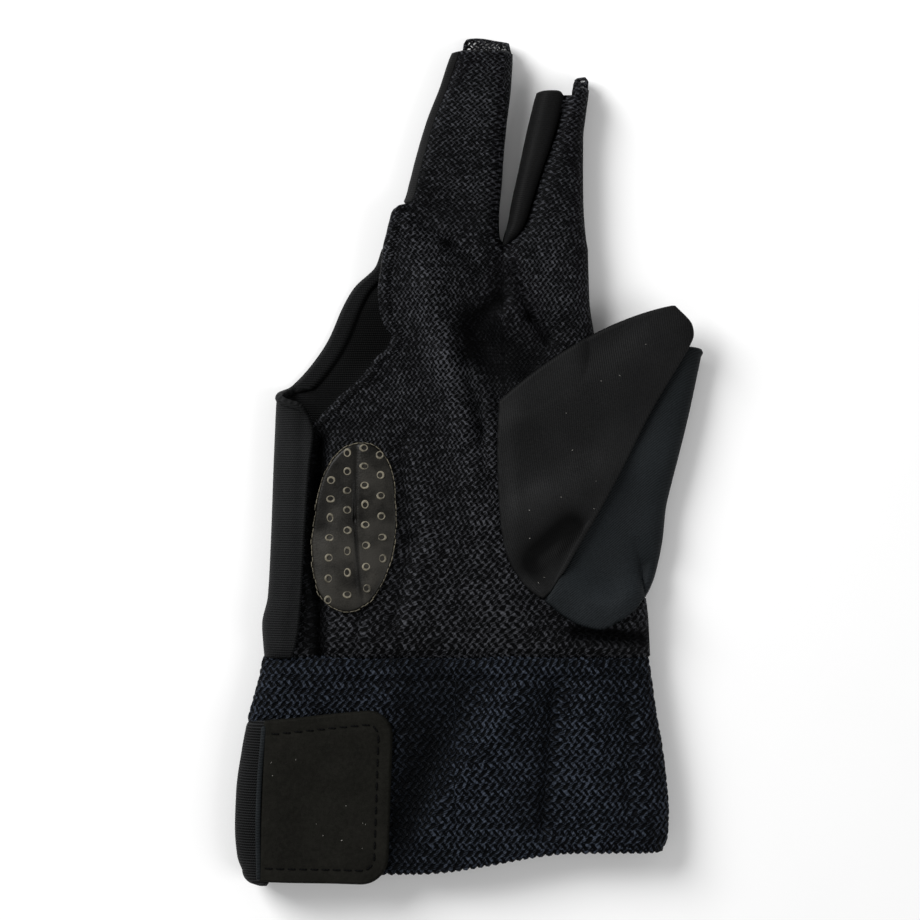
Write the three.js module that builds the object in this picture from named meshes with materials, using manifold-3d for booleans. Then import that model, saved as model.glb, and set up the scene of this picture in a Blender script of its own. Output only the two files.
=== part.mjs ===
// A three-finger billiard glove, lying flat with its palm up.
// Millimetres. X runs across the hand, Y from the cuff to the fingers, Z up from the table.
// Every cloth is a thin solid round a middle surface, and the shapes start at the middle of the wrist seam.
import * as THREE from "three";
import Module from "manifold-3d";

const wasm = await Module();
wasm.setup();

// Sizes of the hand and its cloths
const HAND_LENGTH = 106; // wrist seam to the crotch between the two fingers
const HAND_WIDTH = 99; // across the wrist seam
const HAND_HEIGHT = 10.6;
const SIDE_TURN = 6; // how far in from a side the cloth is still turning over
const KNIT_WALL = 1.5;
const LYCRA_WALL = 1.2;
const SEAM_GAP = 0.3; // clearance between any two cloths
const HEM_WIDTH = 2.7;
const HEM_EXTRA = 0.7; // how much thicker the cloth is where its edge is doubled over
const SEAM_GROOVE = 0.9; // depth of the groove along the wrist seam
const UNDERLAP = 4; // how far the palm cloth runs on under the thumb

// Sizes of the two finger sleeves
const INDEX_LENGTH = 51;
const INDEX_WIDTH = 24.4;
const INDEX_OVERHANG = 3.2; // how far the far layer stands past the near one
const MIDDLE_LENGTH = 41;
const MIDDLE_WIDTH = 19.7;
const MIDDLE_OVERHANG = 3.6;
const FINGER_HEIGHT = 10;
const FINGER_TURN = 4.5;
const GUSSET_SHOW = 1.8; // how much of the index side wall shows from above
const GROOVE_DEPTH = 2.5; // of the fold between the middle sleeve's side wall and its front

// Sizes of the thumb sleeve
const THUMB_LENGTH = 74.3; // from the foot of the thumb seam to the tip of the fold
const THUMB_ANGLE = 60.4; // degrees from the X axis to the fold
const THUMB_WIDTH = 22; // of the far layer that shows beside the fold
const THUMB_HEIGHT = 10.4;
const THUMB_TURN = 4.6;
const FLAP_BOW = 3.9; // how far the flap's upper edge bows outwards
const FLAP_DROOP = 0.8;
const FLAP_FREE = { start: 5, end: 8 }; // how far from its seam the flap leaves the palm cloth
const THUMB_INSET = 2.8; // how far in from the hand's side the back cloth stops under the thumb
const TUCK = 2; // how far the far layer runs on under the fold

// Sizes of the cuff and its closure
const CUFF_LENGTH = 55.6;
const CUFF_WIDTH = 112;
const CUFF_HEIGHT = 10.6;
const CUFF_RISE = 0.1; // share of its length that the cuff is shorter at the inner side
const STRAP_WALL = 1.2;
const STRAP_LAP = 6; // how far the strap runs over the cuff past its turn
const LIFT_RUN = 9; // how far past the strap's end the cuff is still lifted by it
const TAB_LENGTH = 42.4;
const TAB_WIDTH = 33;
const TAB_WALL = 1.6;
const TAB_CORNER = 6.5;
const TAB_TILT = -2; // degrees
const TAB_DROP = { start: 1, end: 6 }; // how far past the strap's end the tab comes down to the cuff

// Sizes of the palm pad
const PAD_LENGTH = 43.8;
const PAD_WIDTH = 21.6;
const PAD_WALL = 1;
const PAD_TILT = 4; // degrees
const DOT_DIAMETER = 2.2;
const DOT_HEIGHT = 0.45;
const DOT_ROW_PITCH = 5.2;
const DOT_COLUMN_PITCH = 4.4;
const DOT_SLANT = 2; // how much lower each column stands than the one on its right
const DOT_SIDES = 6;
const DOT_COLUMNS = 4;
const DOT_ROWS = 9; // in the longest column, before the oval cuts it short

// The cloths' colours as they show in soft light
const MESH_BLACK = { color: 0x0b0d12, roughness: 0.85, metalness: 0 };
const CUFF_BLACK = { color: 0x0c0e15, roughness: 0.85, metalness: 0 };
const LYCRA_BLACK = { color: 0x101113, roughness: 0.6, metalness: 0 };
const TAB_BLACK = { color: 0x12110f, roughness: 0.95, metalness: 0 };
const PAD_BLACK = { color: 0x1b1917, roughness: 0.4, metalness: 0 };

// The palm cloth's outer edge, as shares of the hand: side is where the cloth would reach the hand's edge.
// The first rows lie under the strip of back cloth, the others follow the hem of the opening.
const PALM_EDGE = [
  { along: 0, side: -0.477, edge: -0.449 },
  { along: 0.03, side: -0.479, edge: -0.442 },
  { along: 0.12, side: -0.471, edge: -0.434 },
  { along: 0.254, side: -0.462, edge: -0.426 },
  { along: 0.413, side: -0.455, edge: -0.418 },
  { along: 0.54, side: -0.45, edge: -0.405 },
  { along: 0.565, side: -0.41, edge: -0.372 },
  { along: 0.605, side: -0.359, edge: -0.329 },
  { along: 0.637, side: -0.325, edge: -0.295 },
  { along: 0.69, side: -0.263, edge: -0.233 },
  { along: 0.726, side: -0.237, edge: -0.207 },
  { along: 0.751, side: -0.203, edge: -0.173 },
  { along: 0.788, side: -0.188, edge: -0.158 },
  { along: 0.812, side: -0.207, edge: -0.177 },
  { along: 0.844, side: -0.219, edge: -0.189 },
  { along: 0.893, side: -0.225, edge: -0.195 },
  { along: 0.958, side: -0.217, edge: -0.187 },
  { along: 1, side: -0.212, edge: -0.182 },
];

// The hand's inner side, and the line below the crotch where the two halves of the hand meet.
const HAND_SIDE = [
  { along: 0, right: 0.507, spine: 0.02 },
  { along: 0.094, right: 0.502, spine: 0.03 },
  { along: 0.147, right: 0.495, spine: 0.037 },
  { along: 0.5, right: 0.428, spine: 0.07 },
  { along: 0.79, right: 0.36, spine: 0.1 },
  { along: 0.875, right: 0.347, spine: 0.112 },
  { along: 1, right: 0.343, spine: 0.127 },
];

// The back cloth's outer side: wrap is the edge of the strip on the palm, left the silhouette,
// start how far round its section the hem lies, and turn how much of the side turn is left there.
const BACK_SIDE = [
  { along: 0, wrap: -0.434, left: -0.496, start: 0, turn: 1 },
  { along: 0.03, wrap: -0.421, left: -0.499, start: 0, turn: 1 },
  { along: 0.078, wrap: -0.412, left: -0.502, start: 0, turn: 1 },
  { along: 0.147, wrap: -0.406, left: -0.487, start: 0, turn: 1 },
  { along: 0.307, wrap: -0.397, left: -0.478, start: 0, turn: 1 },
  { along: 0.466, wrap: -0.385, left: -0.472, start: 0, turn: 1 },
  { along: 0.555, wrap: -0.374, left: -0.468, start: 0, turn: 1 },
  { along: 0.6, wrap: -0.374, left: -0.466, start: 0.13, turn: 1 },
  { along: 0.635, wrap: -0.374, left: -0.463, start: 0.3, turn: 0.6 },
  { along: 0.665, wrap: -0.374, left: -0.421, start: 0.5, turn: 0 },
  { along: 0.714, wrap: -0.34, left: -0.373, start: 0.5, turn: 0 },
  { along: 0.775, wrap: -0.3, left: -0.329, start: 0.5, turn: 0 },
  { along: 0.865, wrap: -0.25, left: -0.286, start: 0.5, turn: 0 },
  { along: 0.905, wrap: -0.22, left: -0.26, start: 0.5, turn: 0 },
  { along: 0.958, wrap: -0.18, left: -0.203, start: 0.5, turn: 0 },
  { along: 1, wrap: -0.16, left: -0.187, start: 0.5, turn: 0 },
];

// The index sleeve, as shares of its length and width about its own middle line.
// The first rows still carry the hem of the opening, and the step is where the side wall begins.
const INDEX_SLEEVE = [
  { along: 0, side: -0.79, edge: -0.66, right: 0.57 },
  { along: 0.07, side: -0.77, edge: -0.645, right: 0.5 },
  { along: 0.13, side: -0.74, edge: -0.62, right: 0.492 },
  { along: 0.2, side: -0.69, edge: -0.57, right: 0.497 },
  { along: 0.23, side: -0.49, edge: -0.4, right: 0.502 },
  { along: 0.353, side: -0.406, edge: -0.32, right: 0.527 },
  { along: 0.455, side: -0.352, edge: -0.266, right: 0.54 },
  { along: 0.66, side: -0.225, edge: -0.139, right: 0.58 },
  { along: 0.82, side: -0.094, edge: -0.008, right: 0.62 },
  { along: 1, side: 0.037, edge: 0.123, right: 0.64 },
  { along: 1.07, side: 0.13, edge: 0.216, right: 0.61 },
];
const INDEX_MIDDLE = -0.013; // the sleeve's middle line, as a share of the hand's width
const INDEX_WALL_START = 0.245; // where its side wall begins, as a share of its length

// The middle sleeve: side is its silhouette and groove the fold beside the roll of its side wall.
const MIDDLE_SLEEVE = [
  { along: 0, side: -0.579, groove: -0.579, right: 0.508 },
  { along: 0.06, side: -0.555, groove: -0.44, right: 0.485 },
  { along: 0.163, side: -0.492, groove: -0.29, right: 0.462 },
  { along: 0.29, side: -0.445, groove: -0.2, right: 0.447 },
  { along: 0.476, side: -0.36, groove: -0.08, right: 0.442 },
  { along: 0.71, side: -0.257, groove: 0.09, right: 0.444 },
  { along: 0.85, side: -0.19, groove: 0.17, right: 0.477 },
  { along: 1, side: -0.11, groove: 0.23, right: 0.52 },
  { along: 1.09, side: -0.06, groove: 0.28, right: 0.53 },
];
const MIDDLE_MIDDLE = 0.2424;
const MIDDLE_WALL_START = 0.11;

// The seam that joins the thumb to the palm: from the inner side round its foot to where the fold between
// the thumb's two layers starts, and from there up to the web. Lap is the share of UNDERLAP that the palm
// cloth runs on past the seam.
const FOLD_FOOT = { across: 0.235, along: 0.143, lap: 1 };
const FOOT_SEAM = [
  { across: 0.494, along: 0.15, lap: -0.2 },
  { across: 0.476, along: 0.128, lap: -0.2 },
  { across: 0.429, along: 0.095, lap: 0.6 },
  { across: 0.377, along: 0.074, lap: 1 },
  { across: 0.329, along: 0.084, lap: 1 },
  { across: 0.288, along: 0.104, lap: 1 },
  FOLD_FOOT,
];
const WEB_SEAM = [
  FOLD_FOOT,
  { across: 0.2, along: 0.167, lap: 1 },
  { across: 0.17, along: 0.199, lap: 1 },
  { across: 0.141, along: 0.249, lap: 1 },
  { across: 0.127, along: 0.309, lap: 1 },
  { across: 0.118, along: 0.408, lap: 1 },
  { across: 0.115, along: 0.518, lap: 1 },
  { across: 0.12, along: 0.625, lap: 0.7 },
];
const HOLE_MIDDLE = { across: 0.37, along: 0.38 }; // the middle of the thumb hole

// The thumb's fold and its silhouette, as shares of its length along the fold and of its width beside it.
const THUMB_LAYERS = [
  { along: 0, fold: 0, outer: 1 },
  { along: 0.18, fold: 0.02, outer: 0.995 },
  { along: 0.37, fold: 0.03, outer: 0.83 },
  { along: 0.5, fold: 0.02, outer: 0.69 },
  { along: 0.78, fold: -0.02, outer: 0.43 },
  { along: 1, fold: 0, outer: 0.2 },
];
// Where the silhouette starts and ends along the thumb
const SIDE_START = 0.18;
const SIDE_END = 1.015;
// The flap's rounded tip beyond the fold, in the same shares
const FLAP_TIP = [
  { up: 0.84, along: 1, beside: 0 },
  { up: 0.9, along: 1.045, beside: -0.01 },
  { up: 0.95, along: 1.085, beside: -0.1 },
  { up: 1, along: 1.11, beside: -0.37 },
];

// The cuff from the wrist seam down, as shares of its length and width.
const CUFF_SIDES = [
  { along: 0, left: -0.441, right: 0.445 },
  { along: 0.125, left: -0.454, right: 0.453 },
  { along: 0.207, left: -0.466, right: 0.458 },
  { along: 0.302, left: -0.478, right: 0.464 },
  { along: 0.45, left: -0.492, right: 0.476 },
  { along: 0.627, left: -0.504, right: 0.486 },
  { along: 0.804, left: -0.507, right: 0.492 },
  { along: 0.93, left: -0.502, right: 0.49 },
  { along: 1, left: -0.49, right: 0.478 },
];
const TAB_AT = { across: -0.302, along: 0.655 }; // the tab's middle
const STRAP_ROWS = { top: 0.235, bottom: 1.055 }; // where the strap starts and ends, as shares of the cuff

const PAD_AT = { across: -0.268, along: 0.318 }; // the pad's middle, as shares of the hand

// Folds of the palm side: a ridge stands up and a valley, with its depth below nought, sinks in.
// Places and widths are shares of the hand's length and width, depths of its height.
const HAND_FOLDS = [
  { fromX: -0.14, fromY: 1.04, toX: -0.04, toY: 0.875, width: 0.05, depth: 0.08 },
  { fromX: -0.04, fromY: 0.875, toX: 0.026, toY: 0.68, width: 0.05, depth: 0.11 },
  { fromX: 0.026, fromY: 0.68, toX: 0.085, toY: 0.34, width: 0.05, depth: 0.09 },
  { fromX: 0.125, fromY: 0.96, toX: 0.06, toY: 0.74, width: 0.035, depth: -0.12 },
  { fromX: 0.08, fromY: 0.74, toX: 0.1, toY: 0.62, width: 0.05, depth: -0.16 },
  { fromX: 0.17, fromY: 0.9, toX: 0.25, toY: 0.78, width: 0.05, depth: -0.09 },
  { fromX: -0.4, fromY: 0.05, toX: -0.375, toY: 0.52, width: 0.04, depth: -0.1 },
  { fromX: -0.3, fromY: 0.08, toX: -0.2, toY: 0.5, width: 0.13, depth: 0.05 },
];

// Folds of the cuff, in shares of its own sizes, with Y down from the seam.
const CUFF_FOLDS = [
  { fromX: 0.22, fromY: 0.15, toX: 0.2, toY: 0.78, width: 0.04, depth: -0.1 },
  { fromX: 0.385, fromY: 0.05, toX: 0.4, toY: 0.7, width: 0.035, depth: -0.06 },
  { fromX: -0.05, fromY: 0.1, toX: -0.09, toY: 0.85, width: 0.06, depth: -0.08 },
  { fromX: 0.06, fromY: 0.2, toX: 0.09, toY: 0.95, width: 0.07, depth: 0.05 },
];

// Levels of the middle surfaces above the table
const HAND_TOP = HAND_HEIGHT - KNIT_WALL / 2;
const HAND_MIDDLE = HAND_HEIGHT / 2;
const FINGER_TOP = FINGER_HEIGHT - KNIT_WALL / 2;
const CUFF_TOP = CUFF_HEIGHT - KNIT_WALL / 2;
const OVER_KNIT = (KNIT_WALL + LYCRA_WALL) / 2 + SEAM_GAP; // from the knit to a smooth cloth lying on it
const OVER_LYCRA = LYCRA_WALL + SEAM_GAP;
const STRAP_OUT = (KNIT_WALL + STRAP_WALL) / 2 + SEAM_GAP;

const mix = THREE.MathUtils.lerp;
const clamp = THREE.MathUtils.clamp;
const ease = (from, to, value) => THREE.MathUtils.smoothstep(value, from, to);

// A quarter of an ellipse: 0 at a side, 1 where the cloth has finished turning over.
const rise = (share) => Math.sqrt(1 - (1 - clamp(share, 0, 1)) ** 2);

// Evenly spaced values from one end to the other, both included.
const steps = (from, to, count) => Array.from({ length: count }, (_, i) => mix(from, to, i / (count - 1)));

// A smooth function through a table's rows that never overshoots them: value as a function of key.
function through(rows, key, value) {
  const slopes = rows.slice(1).map((row, i) => (row[value] - rows[i][value]) / (row[key] - rows[i][key]));
  const tangents = rows.map((_, i) => {
    const before = slopes[Math.max(i - 1, 0)];
    const after = slopes[Math.min(i, slopes.length - 1)];
    return before * after > 0 ? (2 * before * after) / (before + after) : 0;
  });
  return (at) => {
    const last = rows.length - 2;
    const found = rows.findIndex((row) => row[key] > at) - 1;
    const i = found < -1 ? last : clamp(found, 0, last);
    const span = rows[i + 1][key] - rows[i][key];
    const t = clamp((at - rows[i][key]) / span, 0, 1);
    const bend = tangents[i] * (t ** 3 - 2 * t ** 2 + t) + tangents[i + 1] * (t ** 3 - t ** 2);
    return mix(rows[i][value], rows[i + 1][value], 3 * t ** 2 - 2 * t ** 3) + bend * span;
  };
}

// The height that a table of folds adds at a point given in shares of a width and a length.
function foldsAt(folds, across, along, width, length, height) {
  const point = new THREE.Vector2(across * width, along * length);
  return folds.reduce((sum, fold) => {
    const from = new THREE.Vector2(fold.fromX * width, fold.fromY * length);
    const reach = new THREE.Vector2(fold.toX * width, fold.toY * length).sub(from);
    const offset = point.clone().sub(from);
    const nearest = clamp(offset.dot(reach) / reach.lengthSq(), 0, 1);
    const far = offset.addScaledVector(reach, -nearest).length() / (fold.width * width);
    return sum + fold.depth * height * Math.exp(-far * far);
  }, 0);
}

// Places along a row of points: a doubled hem or a turn at each end takes its own share of the points.
const END_SHARE = 0.25;
function acrossRow(u, left, right, leftEnd, rightEnd) {
  const room = 0.42 * (right - left);
  const leftSize = Math.min(leftEnd.size, room);
  const rightSize = Math.min(rightEnd.size, room);
  const bent = (end, share) => (end.turns ? 1 - Math.cos((share * Math.PI) / 2) : share);
  if (u < END_SHARE) return left + leftSize * bent(leftEnd, u / END_SHARE);
  if (u > 1 - END_SHARE) return right - rightSize * bent(rightEnd, (1 - u) / END_SHARE);
  return mix(left + leftSize, right - rightSize, (u - END_SHARE) / (1 - 2 * END_SHARE));
}
const hem = { size: HEM_WIDTH, turns: false };
const turnOf = (size) => ({ size, turns: true });

// Shares of a row's points for a row with the given number of steps in its ends and in its middle.
const rowShares = (leftSteps, middleSteps, rightSteps) => [
  ...steps(0, END_SHARE, leftSteps + 1),
  ...steps(END_SHARE, 1 - END_SHARE, middleSteps + 1).slice(1),
  ...steps(1 - END_SHARE, 1, rightSteps + 1).slice(1),
];

// A cloth as one closed solid: strips of middle surface, welded where they share points, with half the
// wall laid off to each side along the normal and a rim round every free edge.
const WELD = 0.001;
const PROBE = 1e-5;

function normalAt({ place, us, vs }, u, v) {
  const [firstV, lastV] = [vs[0], vs.at(-1)];
  const [firstU, lastU] = [us[0], us.at(-1)];
  const acrossU = place(Math.min(u + PROBE, lastU), v).sub(place(Math.max(u - PROBE, firstU), v));
  const acrossV = place(u, Math.min(v + PROBE, lastV)).sub(place(u, Math.max(v - PROBE, firstV)));
  return acrossU.cross(acrossV).normalize();
}

function cloth(strips) {
  const points = [];
  const known = new Map();
  const quads = [];
  const pointOf = (strip, u, v) => {
    const at = strip.place(u, v);
    const key = at.toArray().map((c) => Math.round(c / WELD)).join(" ");
    if (!known.has(key)) {
      known.set(key, points.length);
      points.push({ at, normal: new THREE.Vector3(), wall: strip.wall(u, v) });
    }
    const id = known.get(key);
    points[id].normal.add(normalAt(strip, u, v));
    return id;
  };
  strips.forEach((strip) => {
    const ids = strip.vs.map((v) => strip.us.map((u) => pointOf(strip, u, v)));
    ids.slice(1).forEach((row, j) => {
      row.slice(1).forEach((id, i) => quads.push([ids[j][i], ids[j][i + 1], id, row[i]]));
    });
  });
  const side = (sign) => points.flatMap(({ at, normal, wall }) =>
    at.clone().addScaledVector(normal.clone().normalize(), (sign * wall) / 2).toArray());
  const count = points.length;
  const edges = new Map();
  quads.forEach((quad) => quad.forEach((from, i) => edges.set(from * count + quad[(i + 1) % 4], 1)));
  const index = [];
  const addQuad = (a, b, c, d) => index.push(a, b, c, a, c, d);
  quads.forEach(([a, b, c, d]) => {
    addQuad(a, b, c, d);
    addQuad(d + count, c + count, b + count, a + count);
    [[a, b], [b, c], [c, d], [d, a]].forEach(([from, to]) => {
      if (!edges.has(to * count + from)) addQuad(from + count, to + count, to, from);
    });
  });
  const geometry = new THREE.BufferGeometry();
  geometry.setAttribute("position", new THREE.Float32BufferAttribute([...side(1), ...side(-1)], 3));
  geometry.setIndex(index);
  return geometry;
}

const evenWall = (wall) => () => wall;

// A closed geometry as a solid for cutting and joining, and back again.
function solidOf(geometry) {
  return new wasm.Manifold(new wasm.Mesh({
    numProp: 3,
    vertProperties: geometry.attributes.position.array,
    triVerts: Uint32Array.from(geometry.index.array),
  }));
}

function geometryOf(solid) {
  const { vertProperties, triVerts } = solid.getMesh();
  const geometry = new THREE.BufferGeometry();
  geometry.setAttribute("position", new THREE.BufferAttribute(vertProperties, 3));
  geometry.setIndex(new THREE.BufferAttribute(triVerts, 1));
  return geometry;
}

// A function of the hand's rows: a share up to 1 runs from the wrist to the crotch, and on to 2 along
// a finger. The finger's own line meets the hand's at the crotch, whatever the sizes are.
const JOIN = 0.1;
function handLine(hand, finger) {
  const miss = hand(1) - finger(0);
  return (v) => (v <= 1 ? hand(v) : finger(v - 1) + miss * (1 - ease(0, JOIN, v - 1)));
}
const ofHand = (rows, value) => {
  const share = through(rows, "along", value);
  return (v) => share(v) * HAND_WIDTH;
};
const ofSleeve = (rows, value, middle, width) => {
  const share = through(rows, "along", value);
  return (along) => middle * HAND_WIDTH + share(along) * width;
};
const spine = ofHand(HAND_SIDE, "spine");
const handRight = ofHand(HAND_SIDE, "right");
const INDEX = {
  length: INDEX_LENGTH,
  side: handLine(ofHand(PALM_EDGE, "side"), ofSleeve(INDEX_SLEEVE, "side", INDEX_MIDDLE, INDEX_WIDTH)),
  edge: handLine(ofHand(PALM_EDGE, "edge"), ofSleeve(INDEX_SLEEVE, "edge", INDEX_MIDDLE, INDEX_WIDTH)),
  right: handLine(spine, ofSleeve(INDEX_SLEEVE, "right", INDEX_MIDDLE, INDEX_WIDTH)),
};
const MIDDLE = {
  length: MIDDLE_LENGTH,
  side: handLine(spine, ofSleeve(MIDDLE_SLEEVE, "side", MIDDLE_MIDDLE, MIDDLE_WIDTH)),
  groove: handLine(spine, ofSleeve(MIDDLE_SLEEVE, "groove", MIDDLE_MIDDLE, MIDDLE_WIDTH)),
  right: handLine(handRight, ofSleeve(MIDDLE_SLEEVE, "right", MIDDLE_MIDDLE, MIDDLE_WIDTH)),
};
const rowY = (finger, v) => (v <= 1 ? v * HAND_LENGTH : HAND_LENGTH + (v - 1) * finger.length);
const crotch = new THREE.Vector2(spine(1), HAND_LENGTH);

// How far the height and the side turns have gone over from the hand's to the finger's at a row.
const fingerShare = (v) => ease(0.8, 1.1, v);
const topLevel = (v) => mix(HAND_TOP, FINGER_TOP, fingerShare(v));
const middleLevel = (v) => mix(HAND_HEIGHT, FINGER_HEIGHT, fingerShare(v)) / 2;
const sideTurn = (v) => mix(SIDE_TURN, FINGER_TURN, fingerShare(v));
const slitRise = (x, v, slitX) => {
  const away = v <= 1 ? Math.hypot(x - crotch.x, (1 - v) * HAND_LENGTH) : Math.abs(x - slitX);
  return rise(away / FINGER_TURN);
};
const wristGroove = (y) => SEAM_GROOVE * Math.exp(-((y / 2) ** 2));

// The palm cloth's level clear of its sides, with its folds.
function palmTop(x, y, v) {
  const folds = foldsAt(HAND_FOLDS, x / HAND_WIDTH, y / HAND_LENGTH, HAND_WIDTH, HAND_LENGTH, HAND_HEIGHT);
  return topLevel(v) + folds - wristGroove(y);
}

// The palm cloth over the index half of the hand, and up the front of the index sleeve.
function indexFront(u, v) {
  const y = rowY(INDEX, v);
  const x = acrossRow(u, INDEX.edge(v), INDEX.right(v), hem, turnOf(FINGER_TURN));
  const outer = rise((x - INDEX.side(v)) / sideTurn(v));
  const slit = slitRise(x, v, INDEX.right(v));
  const top = palmTop(x, y, v);
  return new THREE.Vector3(x, y, top - (top - middleLevel(v) - SEAM_GAP / 2) * (2 - outer - slit));
}

// The palm cloth over the other half, and up the front of the middle sleeve from its groove.
function middleFront(u, v) {
  const y = rowY(MIDDLE, v);
  const left = MIDDLE.groove(v) + (KNIT_WALL / 2 + SEAM_GAP) * ease(0, JOIN, v - 1);
  const x = acrossRow(u, left, MIDDLE.right(v), turnOf(FINGER_TURN), turnOf(sideTurn(v)));
  const inner = rise((MIDDLE.right(v) - x) / sideTurn(v));
  const slit = slitRise(x, v, left);
  const top = palmTop(x, y, v);
  const sideDepth = top - middleLevel(v) - SEAM_GAP / 2;
  const slitDepth = mix(sideDepth, GROOVE_DEPTH, ease(0, 0.12, v - 1));
  return new THREE.Vector3(x, y, top - sideDepth * (1 - inner) - slitDepth * (1 - slit));
}

// The level of the palm cloth at any place on it, for what lies over it.
function palmLevel(x, y) {
  const v = clamp(y / HAND_LENGTH, 0, 1);
  const outer = rise((x - INDEX.side(v)) / sideTurn(v));
  const inner = rise((handRight(v) - x) / sideTurn(v));
  const slit = slitRise(x, v, crotch.x);
  const top = palmTop(x, y, v);
  return top - (top - middleLevel(v)) * (3 - outer - inner - slit);
}

const WRIST_ROW = SEAM_GAP / 2 / HAND_LENGTH;
const PALM_ROWS = [...steps(WRIST_ROW, 0.535, 10), ...steps(0.565, 0.9, 15), 0.93, 0.96, 0.98, 1];

// The thumb hole, as far inside the thumb's seam as the palm cloth runs on under it.
const handPoint = ({ across, along }) => new THREE.Vector2(across * HAND_WIDTH, along * HAND_LENGTH);
function thumbHole() {
  const middle = handPoint(HOLE_MIDDLE);
  const beyond = HAND_WIDTH;
  const inner = [...FOOT_SEAM, ...WEB_SEAM.slice(1)].map((row) => {
    const seam = handPoint(row);
    return seam.clone().addScaledVector(middle.clone().sub(seam).normalize(), row.lap * UNDERLAP);
  });
  const outline = new THREE.Shape();
  outline.moveTo(beyond, inner[0].y);
  inner.forEach((point) => outline.lineTo(point.x, point.y));
  outline.lineTo(beyond, inner.at(-1).y + 0.05 * HAND_LENGTH);
  const prism = new THREE.ExtrudeGeometry(outline, { depth: 2 * HAND_HEIGHT, bevelEnabled: false });
  return joined(prism);
}

// The same geometry with its corners shared, as a solid needs them.
function joined(geometry) {
  const place = geometry.attributes.position;
  const known = new Map();
  const points = [];
  const corner = (i) => {
    const at = new THREE.Vector3().fromBufferAttribute(place, i);
    const key = at.toArray().map((c) => Math.round(c / WELD)).join(" ");
    if (!known.has(key)) {
      known.set(key, points.length / 3);
      points.push(...at.toArray());
    }
    return known.get(key);
  };
  const order = geometry.index ? [...geometry.index.array] : [...Array(place.count).keys()];
  const index = order.map(corner);
  const merged = new THREE.BufferGeometry();
  merged.setAttribute("position", new THREE.Float32BufferAttribute(points, 3));
  merged.setIndex(index);
  return merged;
}

function palmKnit() {
  const hemmed = (u, v) => KNIT_WALL + (u < END_SHARE / 2 && v > 0.55 && v < 1.22 ? HEM_EXTRA : 0);
  const whole = cloth([
    {
      place: indexFront,
      us: [0, 0.9 * END_SHARE / 2, 1.3 * END_SHARE / 2, ...rowShares(1, 5, 3).slice(1)],
      vs: [...PALM_ROWS, ...steps(1.03, 1.2, 5), 1.23, ...steps(1.29, 2, 8)],
      wall: hemmed,
    },
    {
      place: middleFront,
      us: rowShares(3, 5, 3),
      vs: [...PALM_ROWS, 1.03, 1.07, 1.12, ...steps(1.2, 2, 8)],
      wall: evenWall(KNIT_WALL),
    },
  ]);
  return geometryOf(solidOf(whole).subtract(solidOf(thumbHole())));
}

// The back of the hand lies flat on the table and turns up at its sides.
const backTurn = (share, v, wall) => (middleLevel(v) - SEAM_GAP / 2 - wall / 2) * (1 - share);

// The back cloth's outer half: from the strip on the palm, round the side and across to the spine.
const WRAP_SHARE = 0.2;
const BOTTOM_SHARE = 0.5;
const wrapEdge = ofHand(BACK_SIDE, "wrap");
const backLeft = ofHand(BACK_SIDE, "left");
const hemExtra = (u, v) => (u < 0.05 && v > 0.56 ? HEM_EXTRA / 2 : 0);
const wrapStart = through(BACK_SIDE, "along", "start");
const wrapTurn = through(BACK_SIDE, "along", "turn");
function backOuter(u, v) {
  const q = mix(wrapStart(v), 1, u);
  const y = rowY(INDEX, v);
  const left = v <= 1 ? backLeft(v) : INDEX.edge(v);
  const turn = v <= 1 ? wrapTurn(v) * SIDE_TURN : 0;
  const top = HAND_TOP + OVER_KNIT;
  const bottom = LYCRA_WALL / 2;
  const lean = wristGroove(y);
  if (q < WRAP_SHARE) {
    return new THREE.Vector3(mix(wrapEdge(v), left + turn, q / WRAP_SHARE), y, top - lean);
  }
  if (q < BOTTOM_SHARE) {
    const angle = Math.PI * (0.5 - (q - WRAP_SHARE) / (BOTTOM_SHARE - WRAP_SHARE));
    const z = mix(bottom, top, (1 + Math.sin(angle)) / 2) - lean * Math.max(Math.sin(angle), 0);
    return new THREE.Vector3(left + turn * (1 - Math.cos(angle)), y, z);
  }
  const share = (q - BOTTOM_SHARE) / (1 - BOTTOM_SHARE);
  const slit = v > 1 ? INDEX.right(v) : spine(v);
  const x = acrossRow(END_SHARE + share * (1 - END_SHARE), left + turn, slit, hem, turnOf(FINGER_TURN));
  const start = acrossRow(END_SHARE, left + turn, slit, hem, turnOf(FINGER_TURN));
  const shown = left + turn + ((x - start) * (slit - left - turn)) / (slit - start);
  const thick = bottom + hemExtra(u, v) / 2;
  return new THREE.Vector3(shown, y, thick + backTurn(slitRise(shown, v, slit), v, LYCRA_WALL));
}

// The other half, which turns up at the inner side except where the thumb opens into the hand.
const CLOSED_BELOW = 0.13;
const CLOSED_ABOVE = 0.64;
const sideClosed = (v) => Math.max(1 - ease(CLOSED_BELOW - 0.04, CLOSED_BELOW, v),
  ease(CLOSED_ABOVE, CLOSED_ABOVE + 0.05, v));
function backInner(u, v) {
  const y = rowY(MIDDLE, v);
  const left = v > 1 ? MIDDLE.side(v) : spine(v);
  const right = MIDDLE.right(v) - THUMB_INSET * (1 - sideClosed(v));
  const x = acrossRow(u, left, right, turnOf(FINGER_TURN), turnOf(sideTurn(v)));
  const inner = mix(1, rise((right - x) / sideTurn(v)), sideClosed(v));
  const drop = backTurn(inner, v, LYCRA_WALL) + backTurn(slitRise(x, v, left), v, LYCRA_WALL);
  return new THREE.Vector3(x, y, LYCRA_WALL / 2 + drop);
}

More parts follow.
